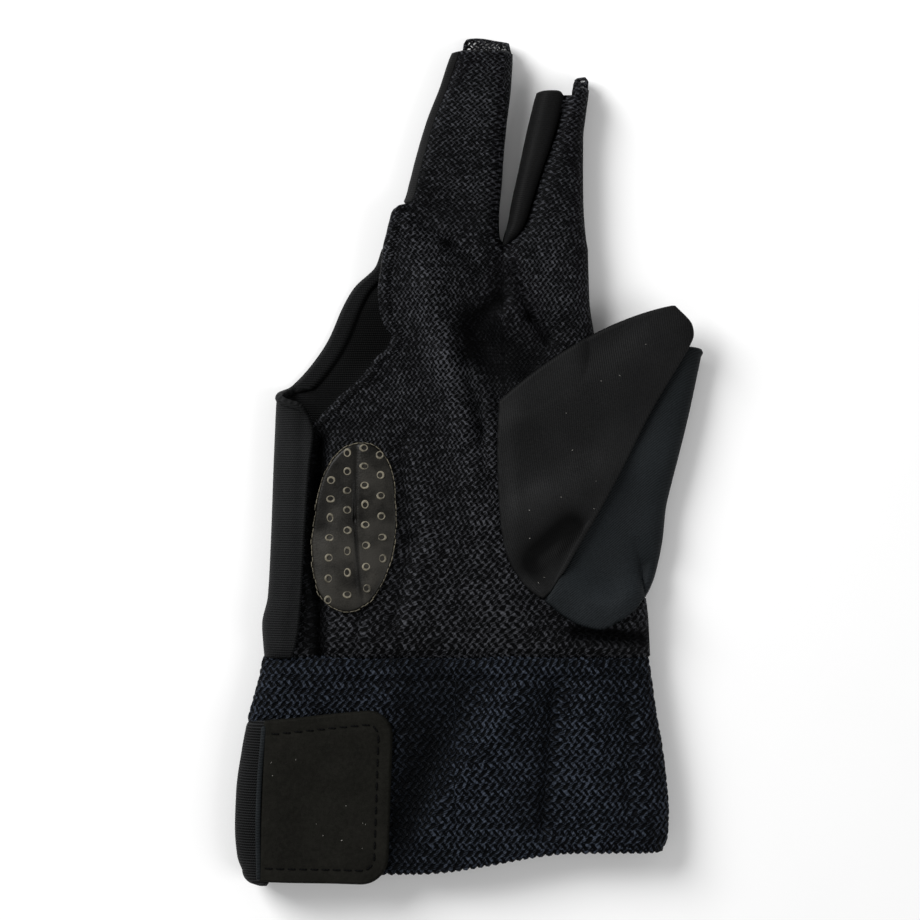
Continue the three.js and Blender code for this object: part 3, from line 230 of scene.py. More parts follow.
# Folds as ridges and valleys
HAND_FOLDS = fold_table(
    (-13.9, 110.2, -4.0, 92.8, 5.0, 0.85), (-4.0, 92.8, 2.6, 72.1, 5.0, 1.17),
    (2.6, 72.1, 8.4, 36.0, 5.0, 0.95), (12.4, 101.8, 5.9, 78.4, 3.5, -1.27),
    (7.9, 78.4, 9.9, 65.7, 5.0, -1.7), (16.8, 95.4, 24.8, 82.7, 5.0, -0.95),
    (-39.6, 5.3, -37.1, 55.1, 4.0, -1.06), (-29.7, 8.5, -19.8, 53.0, 12.9, 0.53),
)
FINE_FOLDS = fold_table(
    (-13.0, 113.6, -6.5, 95.4, 3.4, 1.3), (-6.5, 95.4, -2.6, 77.2, 3.4, 1.3),
    (-2.6, 77.2, 2.6, 59.0, 3.2, 1.5), (2.6, 59.0, 5.2, 43.4, 3.2, 1.0),
    (3.9, 86.0, 17.5, 76.0, 5.5, -2.4), (1.8, 78.5, 6.5, 59.0, 2.0, -1.6),
    (6.5, 59.0, 9.1, 45.0, 2.0, -0.9), (8.3, 67.5, 9.6, 48.6, 1.5, 0.9),
    (-15.6, 112.3, -7.8, 101.9, 1.5, -1.0), (-14.3, 115.7, -1.3, 107.1, 1.6, -1.0),
    (-1.3, 107.1, 6.5, 99.3, 1.8, -1.2), (-10.4, 117.5, 3.9, 115.5, 3.6, -0.8),
    (-3.0, 110.5, 9.0, 102.5, 1.6, 0.7), (12.6, 98.0, 11.7, 92.8, 2.0, -0.8),
    (11.7, 92.8, 4.5, 86.0, 2.4, -1.3), (14.5, 101.0, 19.5, 88.1, 1.2, -1.1),
    (19.5, 88.1, 24.0, 82.5, 1.5, -1.4), (18.2, 101.0, 27.3, 90.2, 3.4, 1.0),
    (-10.4, 52.0, -6.5, 27.8, 2.8, 0.8), (-6.5, 27.8, -11.2, 8.3, 2.8, 0.8),
    (-14.0, 56.4, -12.0, 30.4, 1.7, -0.9), (-12.0, 30.4, -15.6, 9.6, 1.7, -0.9),
    (-24.2, 12.2, -26.0, 2.5, 1.1, -0.9), (-19.0, 84.0, -12.0, 68.0, 2.4, 0.4),
    (-35.0, 1.0, -35.2, 56.0, 1.8, -3.2), (31.5, 6.3, 48.0, 4.6, 1.9, -3.0),
    (0.0, 24.0, 14.0, 10.0, 4.0, 0.5), (17.5, 13.5, 27.0, 7.0, 2.4, -0.7),
    (-30.0, 60.0, -20.0, 60.5, 2.0, -0.5), (-24.0, 70.0, -17.0, 62.0, 2.2, 0.4),
)
CUFF_FOLDS = fold_table(
    (24.6, -8.3, 22.4, -43.4, 4.5, -1.06), (43.1, -2.8, 44.8, -38.9, 3.9, -0.64),
    (-5.6, -5.6, -10.1, -47.3, 6.7, -0.85), (6.7, -11.1, 10.1, -52.8, 7.8, 0.53),
    (25.8, -8.0, 22.4, -45.0, 1.8, -1.1), (44.2, -7.0, 44.8, -38.0, 1.6, -0.6),
    (17.0, -8.0, -6.0, -46.0, 4.0, 1.0), (4.0, -8.0, -15.0, -44.0, 4.5, -1.2),
    (33.0, -12.0, 36.0, -50.0, 4.5, 0.6), (-15.0, -6.0, -19.0, -14.0, 2.5, 0.5),
    (-30.0, -6.5, 48.0, -5.0, 1.0, -0.35),
)
FLAP_FOLDS = fold_table(
    (21.5, 26.5, 30.5, 34.0, 3.6, -1.9), (17.0, 38.0, 37.7, 49.5, 4.2, 0.9),
    (37.0, 62.0, 29.0, 45.0, 5.0, -0.4), (20.0, 64.0, 33.0, 72.0, 5.0, 0.3),
    (48.0, 84.0, 40.0, 66.0, 4.0, 0.4), (13.8, 60.0, 16.0, 36.0, 2.4, 0.4),
    (18.5, 19.5, 22.0, 17.0, 2.0, 0.5), (22.0, 58.0, 27.0, 47.0, 3.5, -0.3),
)
WRAP_FOLDS = fold_table(
    (38.0, 25.0, 45.0, 44.0, 5.0, -0.45), (49.0, 46.0, 56.0, 68.0, 3.5, 0.3),
    (30.0, 20.0, 40.0, 14.0, 3.0, 0.3),
)
PAD_CREASE = fold_table(
    (-25.4, 56.0, -25.9, 36.0, 0.45, -0.6), (-25.9, 36.0, -24.0, 11.0, 0.45, -0.6),
    (-30.0, 47.0, -33.5, 33.0, 2.6, -0.35), (-21.5, 52.0, -20.5, 20.0, 2.5, 0.25),
    (-29.5, 20.0, -24.0, 18.0, 2.5, 0.2),
)

# Painted highlights and painted shade: where a cloth is painted paler or darker without a fold
HAND_PAINTED_SHADING = fold_table(
    (6.0, 122.0, 9.0, 154.0, 8.0, 0.6),
    (4.0, 84.0, 18.0, 76.0, 7.0, -1.0), (-37.0, 4.0, -36.0, 58.0, 2.2, -2.0),
    (32.0, 6.0, 49.0, 4.5, 3.5, -1.5), (-2.0, 20.0, 14.0, 46.0, 9.0, 0.35),
    (-33.0, 58.0, -19.0, 60.0, 5.0, -0.7), (24.0, 110.0, 28.0, 92.0, 5.0, 0.4),
    (-8.0, 119.0, 6.0, 116.0, 5.0, -0.6), (0.0, 150.0, 10.0, 126.0, 7.0, 0.3),
    (-36.0, 4.0, -18.0, 5.0, 4.0, -0.5),
)
BACK_PAINTED_SHADING = fold_table(
    (-36.0, 64.0, -22.0, 84.0, 7.0, -2.2), (-22.0, 84.0, -16.0, 106.0, 6.0, -1.8),
    (-39.0, 4.0, -38.5, 62.0, 1.0, 1.0),
)
FLAP_PAINTED_SHADING = fold_table(
    (20.0, 24.0, 29.0, 33.0, 4.2, -2.6), (18.0, 41.0, 36.0, 50.5, 5.0, 1.2),
    (26.0, 17.5, 60.0, 80.0, 1.3, 0.9), (12.0, 60.0, 14.0, 30.0, 1.6, 0.5),
    (50.0, 84.0, 36.0, 60.0, 9.0, 0.3), (17.0, 19.5, 22.0, 16.5, 1.8, 0.9),
)
WRAP_PAINTED_SHADING = fold_table(
    (34.0, 12.0, 46.0, 19.0, 4.0, 0.8), (50.0, 30.0, 61.0, 74.0, 3.0, 0.4),
    (26.0, 20.0, 60.0, 82.0, 1.4, -1.5),
)
PAD_PAINTED_SHADING = fold_table(
    (-25.4, 56.0, -25.9, 36.0, 0.5, -2.4), (-25.9, 36.0, -24.0, 11.0, 0.5, -2.4),
    (-24.3, 54.0, -24.0, 47.0, 1.6, 1.2), (-21.5, 27.0, -22.8, 15.5, 1.5, 1.2),
    (-33.0, 48.0, -35.5, 36.0, 2.6, -1.6), (-30.0, 40.0, -27.5, 50.0, 2.5, -0.8),
)
CUFF_PAINTED_SHADING = fold_table(
    (-8.0, -10.0, -16.0, -48.0, 9.0, -0.9), (-12.0, -12.0, -14.0, -54.0, 3.0, -0.8),
    (32.0, -12.0, 34.0, -50.0, 12.0, 0.9), (48.0, -10.0, 50.0, -48.0, 5.0, 0.4),
)

HAND_TOP = HAND_HEIGHT - KNIT_WALL / 2
FINGER_TOP = FINGER_HEIGHT - KNIT_WALL / 2
CUFF_TOP = CUFF_HEIGHT - KNIT_WALL / 2
OVER_KNIT = (KNIT_WALL + LYCRA_WALL) / 2 + SEAM_GAP
OVER_LYCRA = LYCRA_WALL + SEAM_GAP
STRAP_OUT = (KNIT_WALL + STRAP_WALL) / 2 + SEAM_GAP


class GloveSizes(bpy.types.PropertyGroup):
    """Sizes of the cloth's fine structure"""

    palm_wale: bpy.props.FloatProperty(
        name="Palm knit width", description="Distance between two holes across the palm's knit",
        default=1.22 * MM, min=0.5 * MM, unit="LENGTH")
    palm_course: bpy.props.FloatProperty(
        name="Palm knit height", description="Distance between two rows of holes in the palm's knit",
        default=1.0 * MM, min=0.5 * MM, unit="LENGTH")
    cuff_wale: bpy.props.FloatProperty(
        name="Cuff knit width", description="Distance between two raised stitches across the cuff",
        default=1.95 * MM, min=0.5 * MM, unit="LENGTH")
    cuff_course: bpy.props.FloatProperty(
        name="Cuff knit height", description="Distance between two rows of raised stitches in the cuff",
        default=1.75 * MM, min=0.5 * MM, unit="LENGTH")
    cuff_relief: bpy.props.FloatProperty(
        name="Cuff relief", description="How far the cuff's raised stitches stand up",
        default=0.26 * MM, min=0.0, unit="LENGTH")
    rib: bpy.props.FloatProperty(
        name="Rib pitch", description="Distance between two ribs of the smooth stretch cloth",
        default=0.6 * MM, min=0.2 * MM, unit="LENGTH")
    stitch: bpy.props.FloatProperty(
        name="Stitch pitch", description="Distance between two stitches round the tab",
        default=2.9 * MM, min=1 * MM, unit="LENGTH")
    thread: bpy.props.FloatProperty(
        name="Thread thickness", description="Thickness of the sewing thread",
        default=0.42 * MM, min=0.1 * MM, unit="LENGTH")
    ring: bpy.props.FloatProperty(
        name="Ring", description="Diameter of the raised rings on the pad",
        default=2.2 * MM, min=0.5 * MM, unit="LENGTH")


class GloveColours(bpy.types.PropertyGroup):
    """Colours of the cloths, threads and trim"""

    mesh: bpy.props.FloatVectorProperty(
        name="Palm knit", description="Colour of the palm's mesh knit",
        subtype="COLOR", default=(0.0093, 0.0096, 0.0109), min=0, max=1)
    cuff: bpy.props.FloatVectorProperty(
        name="Cuff knit", description="Colour of the cuff's coarse knit",
        subtype="COLOR", default=(0.0066, 0.0081, 0.0112), min=0, max=1)
    lycra: bpy.props.FloatVectorProperty(
        name="Stretch cloth", description="Colour of the smooth stretch cloth",
        subtype="COLOR", default=(0.0095, 0.0098, 0.0102), min=0, max=1)
    smooth: bpy.props.FloatVectorProperty(
        name="Thumb cloth", description="Colour of the thumb's near layer",
        subtype="COLOR", default=(0.0089, 0.009, 0.0092), min=0, max=1)
    # Painted sheen: a paler, bluer copy of the stretch cloth's colour, for the thumb's far layer and the band's
    # folded edge
    lycra_and_blue_sheen: bpy.props.FloatVectorProperty(
        name="Thumb's far cloth", description="Colour of the thumb's far layer",
        subtype="COLOR", default=(0.0099, 0.0118, 0.0132), min=0, max=1)
    tab: bpy.props.FloatVectorProperty(
        name="Tab", description="Colour of the closure tab",
        subtype="COLOR", default=(0.0074, 0.0072, 0.006), min=0, max=1)
    pad: bpy.props.FloatVectorProperty(
        name="Pad", description="Colour of the leatherette pad",
        subtype="COLOR", default=(0.0105, 0.0098, 0.0084), min=0, max=1)
    ring: bpy.props.FloatVectorProperty(
        name="Rings", description="Colour of the pad's raised rings and its edge",
        subtype="COLOR", default=(0.21, 0.19, 0.14), min=0, max=1)
    thread: bpy.props.FloatVectorProperty(
        name="Thread", description="Colour of the sewing thread",
        subtype="COLOR", default=(0.0016, 0.0016, 0.0018), min=0, max=1)
    floor: bpy.props.FloatVectorProperty(
        name="Floor", description="Colour of the floor under the glove",
        subtype="COLOR", default=(0.9, 0.9, 0.9), min=0, max=1)


def mix(a, b, share):
    """The value at that share of the way from a to b."""
    return a + (b - a) * share


def ease(start, end, value):
    """0 before start and 1 after end, with a smooth cubic step between them."""
    t = np.clip((value - start) / (end - start), 0, 1)
    return t * t * (3 - 2 * t)


def rise(share):
    """A quarter of an ellipse: 0 at a side and 1 where the cloth has finished turning over."""
    return np.sqrt(1 - (1 - np.clip(share, 0, 1)) ** 2)


def bell(distance, width):
    """1 at no distance, and falling off smoothly past half a width."""
    return np.exp(-((distance / width) ** 2))


def half_turn(u, start, end):
    """The angle of half an ellipse round a side: a quarter turn up until start, and one down from end."""
    return np.pi * (0.5 - (np.clip(u, start, end) - start) / (end - start))


def through(rows, key, value):
    """A smooth function through two columns of a table that never overshoots them."""
    xs, ys = rows[key], rows[value]
    slopes = np.diff(ys) / np.diff(xs)
    before, after = np.r_[slopes[0], slopes], np.r_[slopes, slopes[-1]]
    total = np.where(before * after > 0, before + after, 1)
    tangents = np.where(before * after > 0, 2 * before * after / total, 0)

    def at(place):
        place = np.asarray(place, float)
        i = np.clip(np.searchsorted(xs, place, side="right") - 1, 0, len(xs) - 2)
        span = xs[i + 1] - xs[i]
        t = np.clip((place - xs[i]) / span, 0, 1)
        bend = tangents[i] * (t**3 - 2 * t**2 + t) + tangents[i + 1] * (t**3 - t**2)
        return mix(ys[i], ys[i + 1], 3 * t**2 - 2 * t**3) + bend * span

    return at


def folds_at(folds, x, y):
    """The sum of all folds at a place: each is its height times a bell curve of the distance to its line."""
    total = np.zeros(np.broadcast(x, y).shape)
    for fx, fy, tx, ty, width, depth in zip(*folds.values()):
        rx, ry = tx - fx, ty - fy
        nearest = np.clip(((x - fx) * rx + (y - fy) * ry) / (rx * rx + ry * ry), 0, 1)
        total += depth * bell(np.hypot(x - fx - nearest * rx, y - fy - nearest * ry), width)
    return total


def painted_shading_of(*tables, strength):
    """How light a cloth is painted at a place: a painted highlight on its ridges and painted shade in its
    valleys.
    """
    def painted_shading(x, y):
        height = sum(folds_at(folds, x, y) for folds in tables)
        return np.clip(1 + strength * height, 0.12, 1.7)
    return painted_shading


def ripple(x, y, length, height, seed):
    """Gentle unevenness: a sum of eight sine waves of about that length, in directions drawn by the seed."""
    draw = np.random.default_rng(seed)
    total = np.zeros(np.broadcast(x, y).shape)
    for turn, phase, scale in zip(draw.random(8) * np.pi, draw.random(8) * TURN, 0.6 + draw.random(8)):
        wave = TURN / (length * scale)
        total += np.sin(wave * (x * np.cos(turn) + y * np.sin(turn)) + phase)
    return height * total / 4


def uneven(flat):
    """Lets the yarn wander a little: the flat places move by slow waves."""
    u, v = flat[..., 0], flat[..., 1]
    return np.stack([u + ripple(u, v, 11, 0.3, 31), v + ripple(u, v, 13, 0.22, 32)], -1)


def across_row(u, left, right, left_end, right_end):
    """Places along a row, with a share of the points for each end. Those of a turn crowd at the side."""
    room = 0.42 * (right - left)
    sizes = [np.minimum(end[0], room) for end in (left_end, right_end)]
    from_left, from_right = np.clip(u / END_SHARE, 0, 1), np.clip((1 - u) / END_SHARE, 0, 1)
    bent = [1 - np.cos(share * np.pi / 2) if end[1] else share
            for end, share in ((left_end, from_left), (right_end, from_right))]
    between = (u - END_SHARE) / (1 - 2 * END_SHARE)
    inner = mix(left + sizes[0], right - sizes[1], between)
    return np.where(u < END_SHARE, left + sizes[0] * bent[0],
                    np.where(u > 1 - END_SHARE, right - sizes[1] * bent[1], inner))


def grid(us, vs):
    """The two parameters of a surface as arrays, with a row for each v."""
    return np.meshgrid(np.asarray(us, float), np.asarray(vs, float))


def spaced(*stops):
    """Parameters from stops of (value, steps to the next one), with the last stop's steps left out."""
    parts = [np.linspace(a, b, n, endpoint=False) for (a, n), (b, _) in zip(stops, stops[1:])]
    return np.concatenate([*parts, [stops[-1][0]]])


def shares(left_steps, middle_steps, right_steps):
    """Parameters across a row with those numbers of steps in its two ends and its middle."""
    return spaced((0, left_steps), (END_SHARE, middle_steps), (1 - END_SHARE, right_steps), (1, 0))


# The hand and the two finger sleeves

def line_of(rows, value, width=HAND_WIDTH, middle=0.0):
    """A column of a table as places across: shares of a width, from a middle that is a share of the hand's."""
    share = through(rows, "along", value)
    return lambda along: middle * HAND_WIDTH + share(along) * width


def hand_line(hand, finger):
    """A line that runs along the hand up to 1 and along a finger up to 2, and meets itself at the crotch."""
    miss = hand(1) - finger(0)
    return lambda v: np.where(v <= 1, hand(np.minimum(v, 1)),
                              finger(np.maximum(v - 1, 0)) + miss * (1 - ease(0, JOIN, v - 1)))


def finger_lines(rows, middle, width, length, **hand):
    """A finger's length and its lines by name, each going on from a line of the hand."""
    lines = {name: hand_line(line, line_of(rows, name, width, middle)) for name, line in hand.items()}
    return {"length": length, **lines}


spine = line_of(HAND_SIDE, "spine")
hand_right = line_of(HAND_SIDE, "right")
INDEX = finger_lines(INDEX_SLEEVE, INDEX_MIDDLE, INDEX_WIDTH, INDEX_LENGTH,
                     side=line_of(PALM_EDGE, "side"), edge=line_of(PALM_EDGE, "edge"), right=spine)
MIDDLE = finger_lines(MIDDLE_SLEEVE, MIDDLE_MIDDLE, MIDDLE_WIDTH, MIDDLE_LENGTH,
                      side=spine, groove=spine, right=hand_right)
CROTCH_X = float(spine(1))


def row_y(finger, v):
    return np.where(v <= 1, v * HAND_LENGTH, HAND_LENGTH + (v - 1) * finger["length"])


def to_finger(v):
    """0 on the hand and 1 on the fingers, for the sizes that change from one to the other."""
    return ease(0.8, 1.1, v)


def to_groove(v):
    """0 on the hand and 1 where the groove beside the middle sleeve has its full depth."""
    return ease(0, 0.12, v - 1)


def top_level(v):
    return mix(HAND_TOP, FINGER_TOP, to_finger(v))


def middle_level(v):
    return mix(HAND_HEIGHT, FINGER_HEIGHT, to_finger(v)) / 2


def side_turn(v):
    return mix(SIDE_TURN, FINGER_TURN, to_finger(v))


def slit_rise(x, v, slit_x):
    """How far the cloth has turned over away from the slit between the fingers."""
    away = np.where(v <= 1, np.hypot(x - CROTCH_X, (1 - v) * HAND_LENGTH), np.abs(x - slit_x))
    return rise(away / FINGER_TURN)


def wrist_groove(y):
    """The groove along the wrist seam: a wide one, and a narrow one in its middle."""
    return 0.9 * bell(y, 2) + 0.35 * bell(y, 0.7)


def palm_top(x, y, v, fine=True):
    """The palm cloth's level clear of its sides: the plain level, its folds and the wrist groove."""
    level = top_level(v) + folds_at(HAND_FOLDS, x, y) - wrist_groove(y)
    if fine:
        level = level + folds_at(FINE_FOLDS, x, y) + ripple(x, y, 16, 0.16, 3) + ripple(x, y, 6, 0.05, 4)
    return level


def index_front(u, v):
    y = row_y(INDEX, v)
    x = across_row(u, INDEX["edge"](v), INDEX["right"](v), HEM, FINGER_END)
    outer = rise((x - INDEX["side"](v)) / side_turn(v))
    slit = slit_rise(x, v, INDEX["right"](v))
    top = palm_top(x, y, v)
    return np.stack([x, y, top - (top - middle_level(v) - SEAM_GAP / 2) * (2 - outer - slit)], -1)


def middle_front(u, v):
    rim = -1.6 * (1 - ease(0.2, 0.6, u)) + 0.6 * ease(0.6, 0.9, u)
    y = row_y(MIDDLE, v) + rim * ease(1.8, 2, v)
    left = MIDDLE["groove"](v) + (KNIT_WALL / 2 + SEAM_GAP) * ease(0, JOIN, v - 1)
    x = across_row(u, left, MIDDLE["right"](v), FINGER_END, (side_turn(v), True))
    inner = rise((MIDDLE["right"](v) - x) / side_turn(v))
    slit = slit_rise(x, v, left)
    top = palm_top(x, y, v)
    side_depth = top - middle_level(v) - SEAM_GAP / 2
    slit_depth = mix(side_depth, GROOVE_DEPTH, to_groove(v))
    return np.stack([x, y, top - side_depth * (1 - inner) - slit_depth * (1 - slit)], -1)


def palm_level(x, y):
    """The palm cloth's level at any place on it, without its finest folds, for what lies over it."""
    v = np.clip(y / HAND_LENGTH, 0, 1)
    outer = rise((x - INDEX["side"](v)) / side_turn(v))
    inner = rise((hand_right(v) - x) / side_turn(v))
    slit = slit_rise(x, v, CROTCH_X)
    top = palm_top(x, y, v, fine=False)
    return top - (top - middle_level(v)) * (3 - outer - inner - slit)


def back_turn(share, v, wall):
    """How far a lower layer rises to the middle level, at a share of its turn at a side."""
    return (middle_level(v) - SEAM_GAP / 2 - wall / 2) * (1 - share)


wrap_edge = line_of(BACK_SIDE, "wrap")
back_left = line_of(BACK_SIDE, "left")
wrap_start = through(BACK_SIDE, "along", "start")
wrap_turn = through(BACK_SIDE, "along", "turn")
# Where a row of the back cloth leaves the palm and where it reaches the table
WRAP_SHARE = 0.2
BOTTOM_SHARE = 0.5
BACK_HEM = 0.9
PALM_HEM = 0.5


def hem_extra(u, v):
    """How much thicker the back cloth is at its turned hem along the opening."""
    return BACK_HEM * (1 - ease(0.06, 0.08, u)) * ease(0.56, 0.6, v)


def back_outer(u, v):
    """The back cloth's outer half: flat on the palm, half an ellipse round the side, flat on the table."""
    q = mix(wrap_start(v), 1, u)
    y = row_y(INDEX, v)
    left = np.where(v <= 1, back_left(v), INDEX["edge"](v))
    turn = np.where(v <= 1, wrap_turn(v) * SIDE_TURN, 0)
    top, bottom, lean = HAND_TOP + OVER_KNIT, (LYCRA_WALL + hem_extra(u, v)) / 2, wrist_groove(y)
    crown = ripple(y, y, 30, 0.12, 8)
    strip = [mix(wrap_edge(v), left + turn, q / WRAP_SHARE), y, top - lean + crown]
    angle = half_turn(q, WRAP_SHARE, BOTTOM_SHARE)
    side_z = mix(bottom, top, (1 + np.sin(angle)) / 2) - (lean - crown) * np.maximum(np.sin(angle), 0)
    side = [left + turn * (1 - np.cos(angle)), y, side_z]
    share = np.clip((q - BOTTOM_SHARE) / (1 - BOTTOM_SHARE), 0, 1)
    slit = np.where(v > 1, INDEX["right"](v), spine(v))
    ends = (left + turn, slit, HEM, FINGER_END)
    x = across_row(END_SHARE + share * (1 - END_SHARE), *ends)
    start = across_row(np.full_like(share, END_SHARE), *ends)
    shown = left + turn + ((x - start) * (slit - left - turn)) / (slit - start)
    flat = [shown, y, bottom + back_turn(slit_rise(shown, v, slit), v, LYCRA_WALL)]
    return np.stack([np.where(q < WRAP_SHARE, a, np.where(q < BOTTOM_SHARE, b, c))
                     for a, b, c in zip(strip, side, flat)], -1)


def side_closed(v):
    """1 where the hand's inner side is sewn shut and 0 where the thumb opens into it."""
    return np.maximum(1 - ease(0.09, 0.13, v), ease(0.64, 0.69, v))


def back_inner(u, v):
    y = row_y(MIDDLE, v)
    left = np.where(v > 1, MIDDLE["side"](v), spine(v))
    right = MIDDLE["right"](v) - THUMB_INSET * (1 - side_closed(v))
    x = across_row(u, left, right, FINGER_END, (side_turn(v), True))
    inner = mix(1, rise((right - x) / side_turn(v)), side_closed(v))
    drop = back_turn(inner, v, LYCRA_WALL) + back_turn(slit_rise(x, v, left), v, LYCRA_WALL)
    return np.stack([x, y, LYCRA_WALL / 2 + drop], -1)


index_reach = through(INDEX_REACH, "across", "reach")


def finger_under(finger, x, v):
    """The level of a sleeve's back, which turns up at both its sides."""
    outer = rise((x - finger["side"](v)) / FINGER_TURN)
    inner = rise((finger["right"](v) - x) / FINGER_TURN)
    return KNIT_WALL / 2 + back_turn(outer, v, KNIT_WALL) + back_turn(inner, v, KNIT_WALL)


def index_back(u, v):
    x = across_row(u, INDEX["edge"](v), INDEX["right"](v), HEM, FINGER_END)
    past = np.maximum(v - 2, 0) * INDEX_LENGTH / INDEX_OVERHANG * index_reach(x)
    return np.stack([x, row_y(INDEX, np.minimum(v, 2)) + past, finger_under(INDEX, x, v)], -1)


def middle_back(u, v):
    walled = ease(MIDDLE_WALL_START - 0.04, MIDDLE_WALL_START, v - 1)
    inset = (FINGER_TURN + 1.5 * SEAM_GAP) * walled
    x = across_row(u, MIDDLE["side"](v) + inset, MIDDLE["right"](v), HEM, FINGER_END)
    past = np.maximum(v - 2, 0) * (mix(-0.35, 1.15, ease(0.5, 0.8, u)) - 0.3 * ease(0.9, 1, u))
    return np.stack([x, row_y(MIDDLE, np.minimum(v, 2) + past), finger_under(MIDDLE, x, v)], -1)


def index_side(u, v):
    """Half an ellipse round the index sleeve's outer side, from the seam on top to the seam below."""
    reach = np.arccos(1 - GUSSET_SHOW / FINGER_TURN)
    angle = mix(reach, -reach, u)
    x = INDEX["side"](v) + FINGER_TURN * (1 - np.cos(angle))
    half = np.where(angle > 0, FINGER_TOP - FINGER_HEIGHT / 2, FINGER_HEIGHT / 2 - KNIT_WALL / 2)
    return np.stack([x, row_y(INDEX, v), FINGER_HEIGHT / 2 + half * np.sin(angle)], -1)


# The share of a row in the roll's top, and how far up the sleeve the roll starts
MIDDLE_ROLL = 0.47
ROLL_START = 0.02


def middle_side(u, v):
    """The roll beside the middle sleeve's groove: over the top as an arc, then half an ellipse to below."""
    left = MIDDLE["side"](v)
    groove = MIDDLE["groove"](v) - (LYCRA_WALL + SEAM_GAP) / 2
    turn = np.minimum(FINGER_TURN, 0.5 * (groove - left))
    level = mix(middle_level(v), top_level(v) - GROOVE_DEPTH, to_groove(v))
    top = mix(middle_level(v) + 1.5, top_level(v) - 0.1 * GROOVE_DEPTH, to_groove(v))
    bottom = LYCRA_WALL / 2
    over = u < MIDDLE_ROLL
    roll_x = groove - (groove - left - turn) * (1 - np.cos(np.clip(u / MIDDLE_ROLL, 0, 1) * np.pi / 2))
    lift = rise((groove - roll_x) / (groove - left - turn))
    angle = half_turn(u, MIDDLE_ROLL, 1)
    side_x = left + np.where(angle > 0, turn, FINGER_TURN) * (1 - np.cos(angle))
    side_z = mix(bottom, top, (1 + np.sin(angle)) / 2)
    end = 1.5 * (1 - rise(u / 0.3)) * ease(1.9, 2, v) + 0.3 * ease(1.95, 2, v)
    return np.stack([np.where(over, roll_x, side_x), row_y(MIDDLE, v) - end,
                     np.where(over, mix(level, top, lift), side_z)], -1)


# The thumb

def hand_point(across, along):
    return np.stack([np.asarray(across) * HAND_WIDTH, np.asarray(along) * HAND_LENGTH], -1)


THUMB_FOOT = hand_point(*FOLD_FOOT[:2])
ALONG_THUMB = np.array([np.cos(np.radians(THUMB_ANGLE)), np.sin(np.radians(THUMB_ANGLE))])
BESIDE_THUMB = np.array([ALONG_THUMB[1], -ALONG_THUMB[0]])


def thumb_point(along, beside):
    """A place in the thumb's own frame: along its fold from the foot of the seam, and beside it."""
    return THUMB_FOOT + np.asarray(along)[..., None] * ALONG_THUMB + np.asarray(beside)[..., None] * BESIDE_THUMB


fold_beside = through(THUMB_LAYERS, "along", "fold")
outer_beside = through(THUMB_LAYERS, "along", "outer")
tip_along = through(FLAP_TIP, "up", "along")
tip_beside = through(FLAP_TIP, "up", "beside")
WEB_SEAM["up"] = np.linspace(0, 1, len(WEB_SEAM["along"]))
seam_across = through(WEB_SEAM, "up", "across")
seam_along = through(WEB_SEAM, "up", "along")
FOOT_ROWS = {name: column[::-1] for name, column in FOOT_SEAM.items()}
FOOT_ROWS["u"] = np.linspace(0, 1, len(FOOT_ROWS["along"]))
foot_across = through(FOOT_ROWS, "u", "across")
foot_along = through(FOOT_ROWS, "u", "along")
FOLD_LEVEL = THUMB_HEIGHT - LYCRA_WALL / 2
# Where the thumb's two layers begin to part, where they have parted, and where they have their full level
PART_START = 0.07
PART_END = 0.17
THUMB_FULL = 0.3
FOOT_LEVEL = float(palm_level(*THUMB_FOOT)) + OVER_KNIT


def flap_left(v):
    return hand_point(seam_across(v), seam_along(v))


def flap_right(v):
    tip = FLAP_TIP["up"][0]
    fold = thumb_point(v / tip * THUMB_LENGTH, fold_beside(v / tip) * THUMB_WIDTH)
    end = thumb_point(tip_along(v) * THUMB_LENGTH, tip_beside(v) * THUMB_WIDTH)
    return np.where((v > tip)[..., None], end, fold)


def thumb_front(u, v):
    """The flap: straight lines from the seam to the fold, bowed at the upper edge, resting on the palm."""
    left, right = flap_left(v), flap_right(v)
    flat = mix(left, right, u[..., None])
    flat[..., 1] += FLAP_BOW * v**3 * 4 * u * (1 - u)
    seam = palm_level(left[..., 0], left[..., 1]) + OVER_KNIT
    fold = mix(FOOT_LEVEL, FOLD_LEVEL, ease(PART_START, THUMB_FULL, v))
    level = mix(seam, fold, ease(0.5, 1, u))
    away = u * np.linalg.norm(right - left, axis=-1)
    near = np.maximum(1 - ease(5, 8, away), ease(0.7, 0.85, v))
    rest = palm_level(flat[..., 0], flat[..., 1]) + OVER_KNIT
    level = mix(level, np.maximum(level, rest), near)
    inside = ease(0, 0.12, u) * ease(0, 0.1, 1 - u) * ease(0, 0.1, v) * ease(0, 0.06, 1 - v)
    level = level + inside * (folds_at(FLAP_FOLDS, flat[..., 0], flat[..., 1])
                              + ripple(flat[..., 0], flat[..., 1], 22, 0.18, 5))
    edge = FLAP_DROOP * (1 - rise((1 - u) / 0.12)) * ease(PART_START, PART_END, v)
    return np.concatenate([flat, (level - edge)[..., None]], -1)


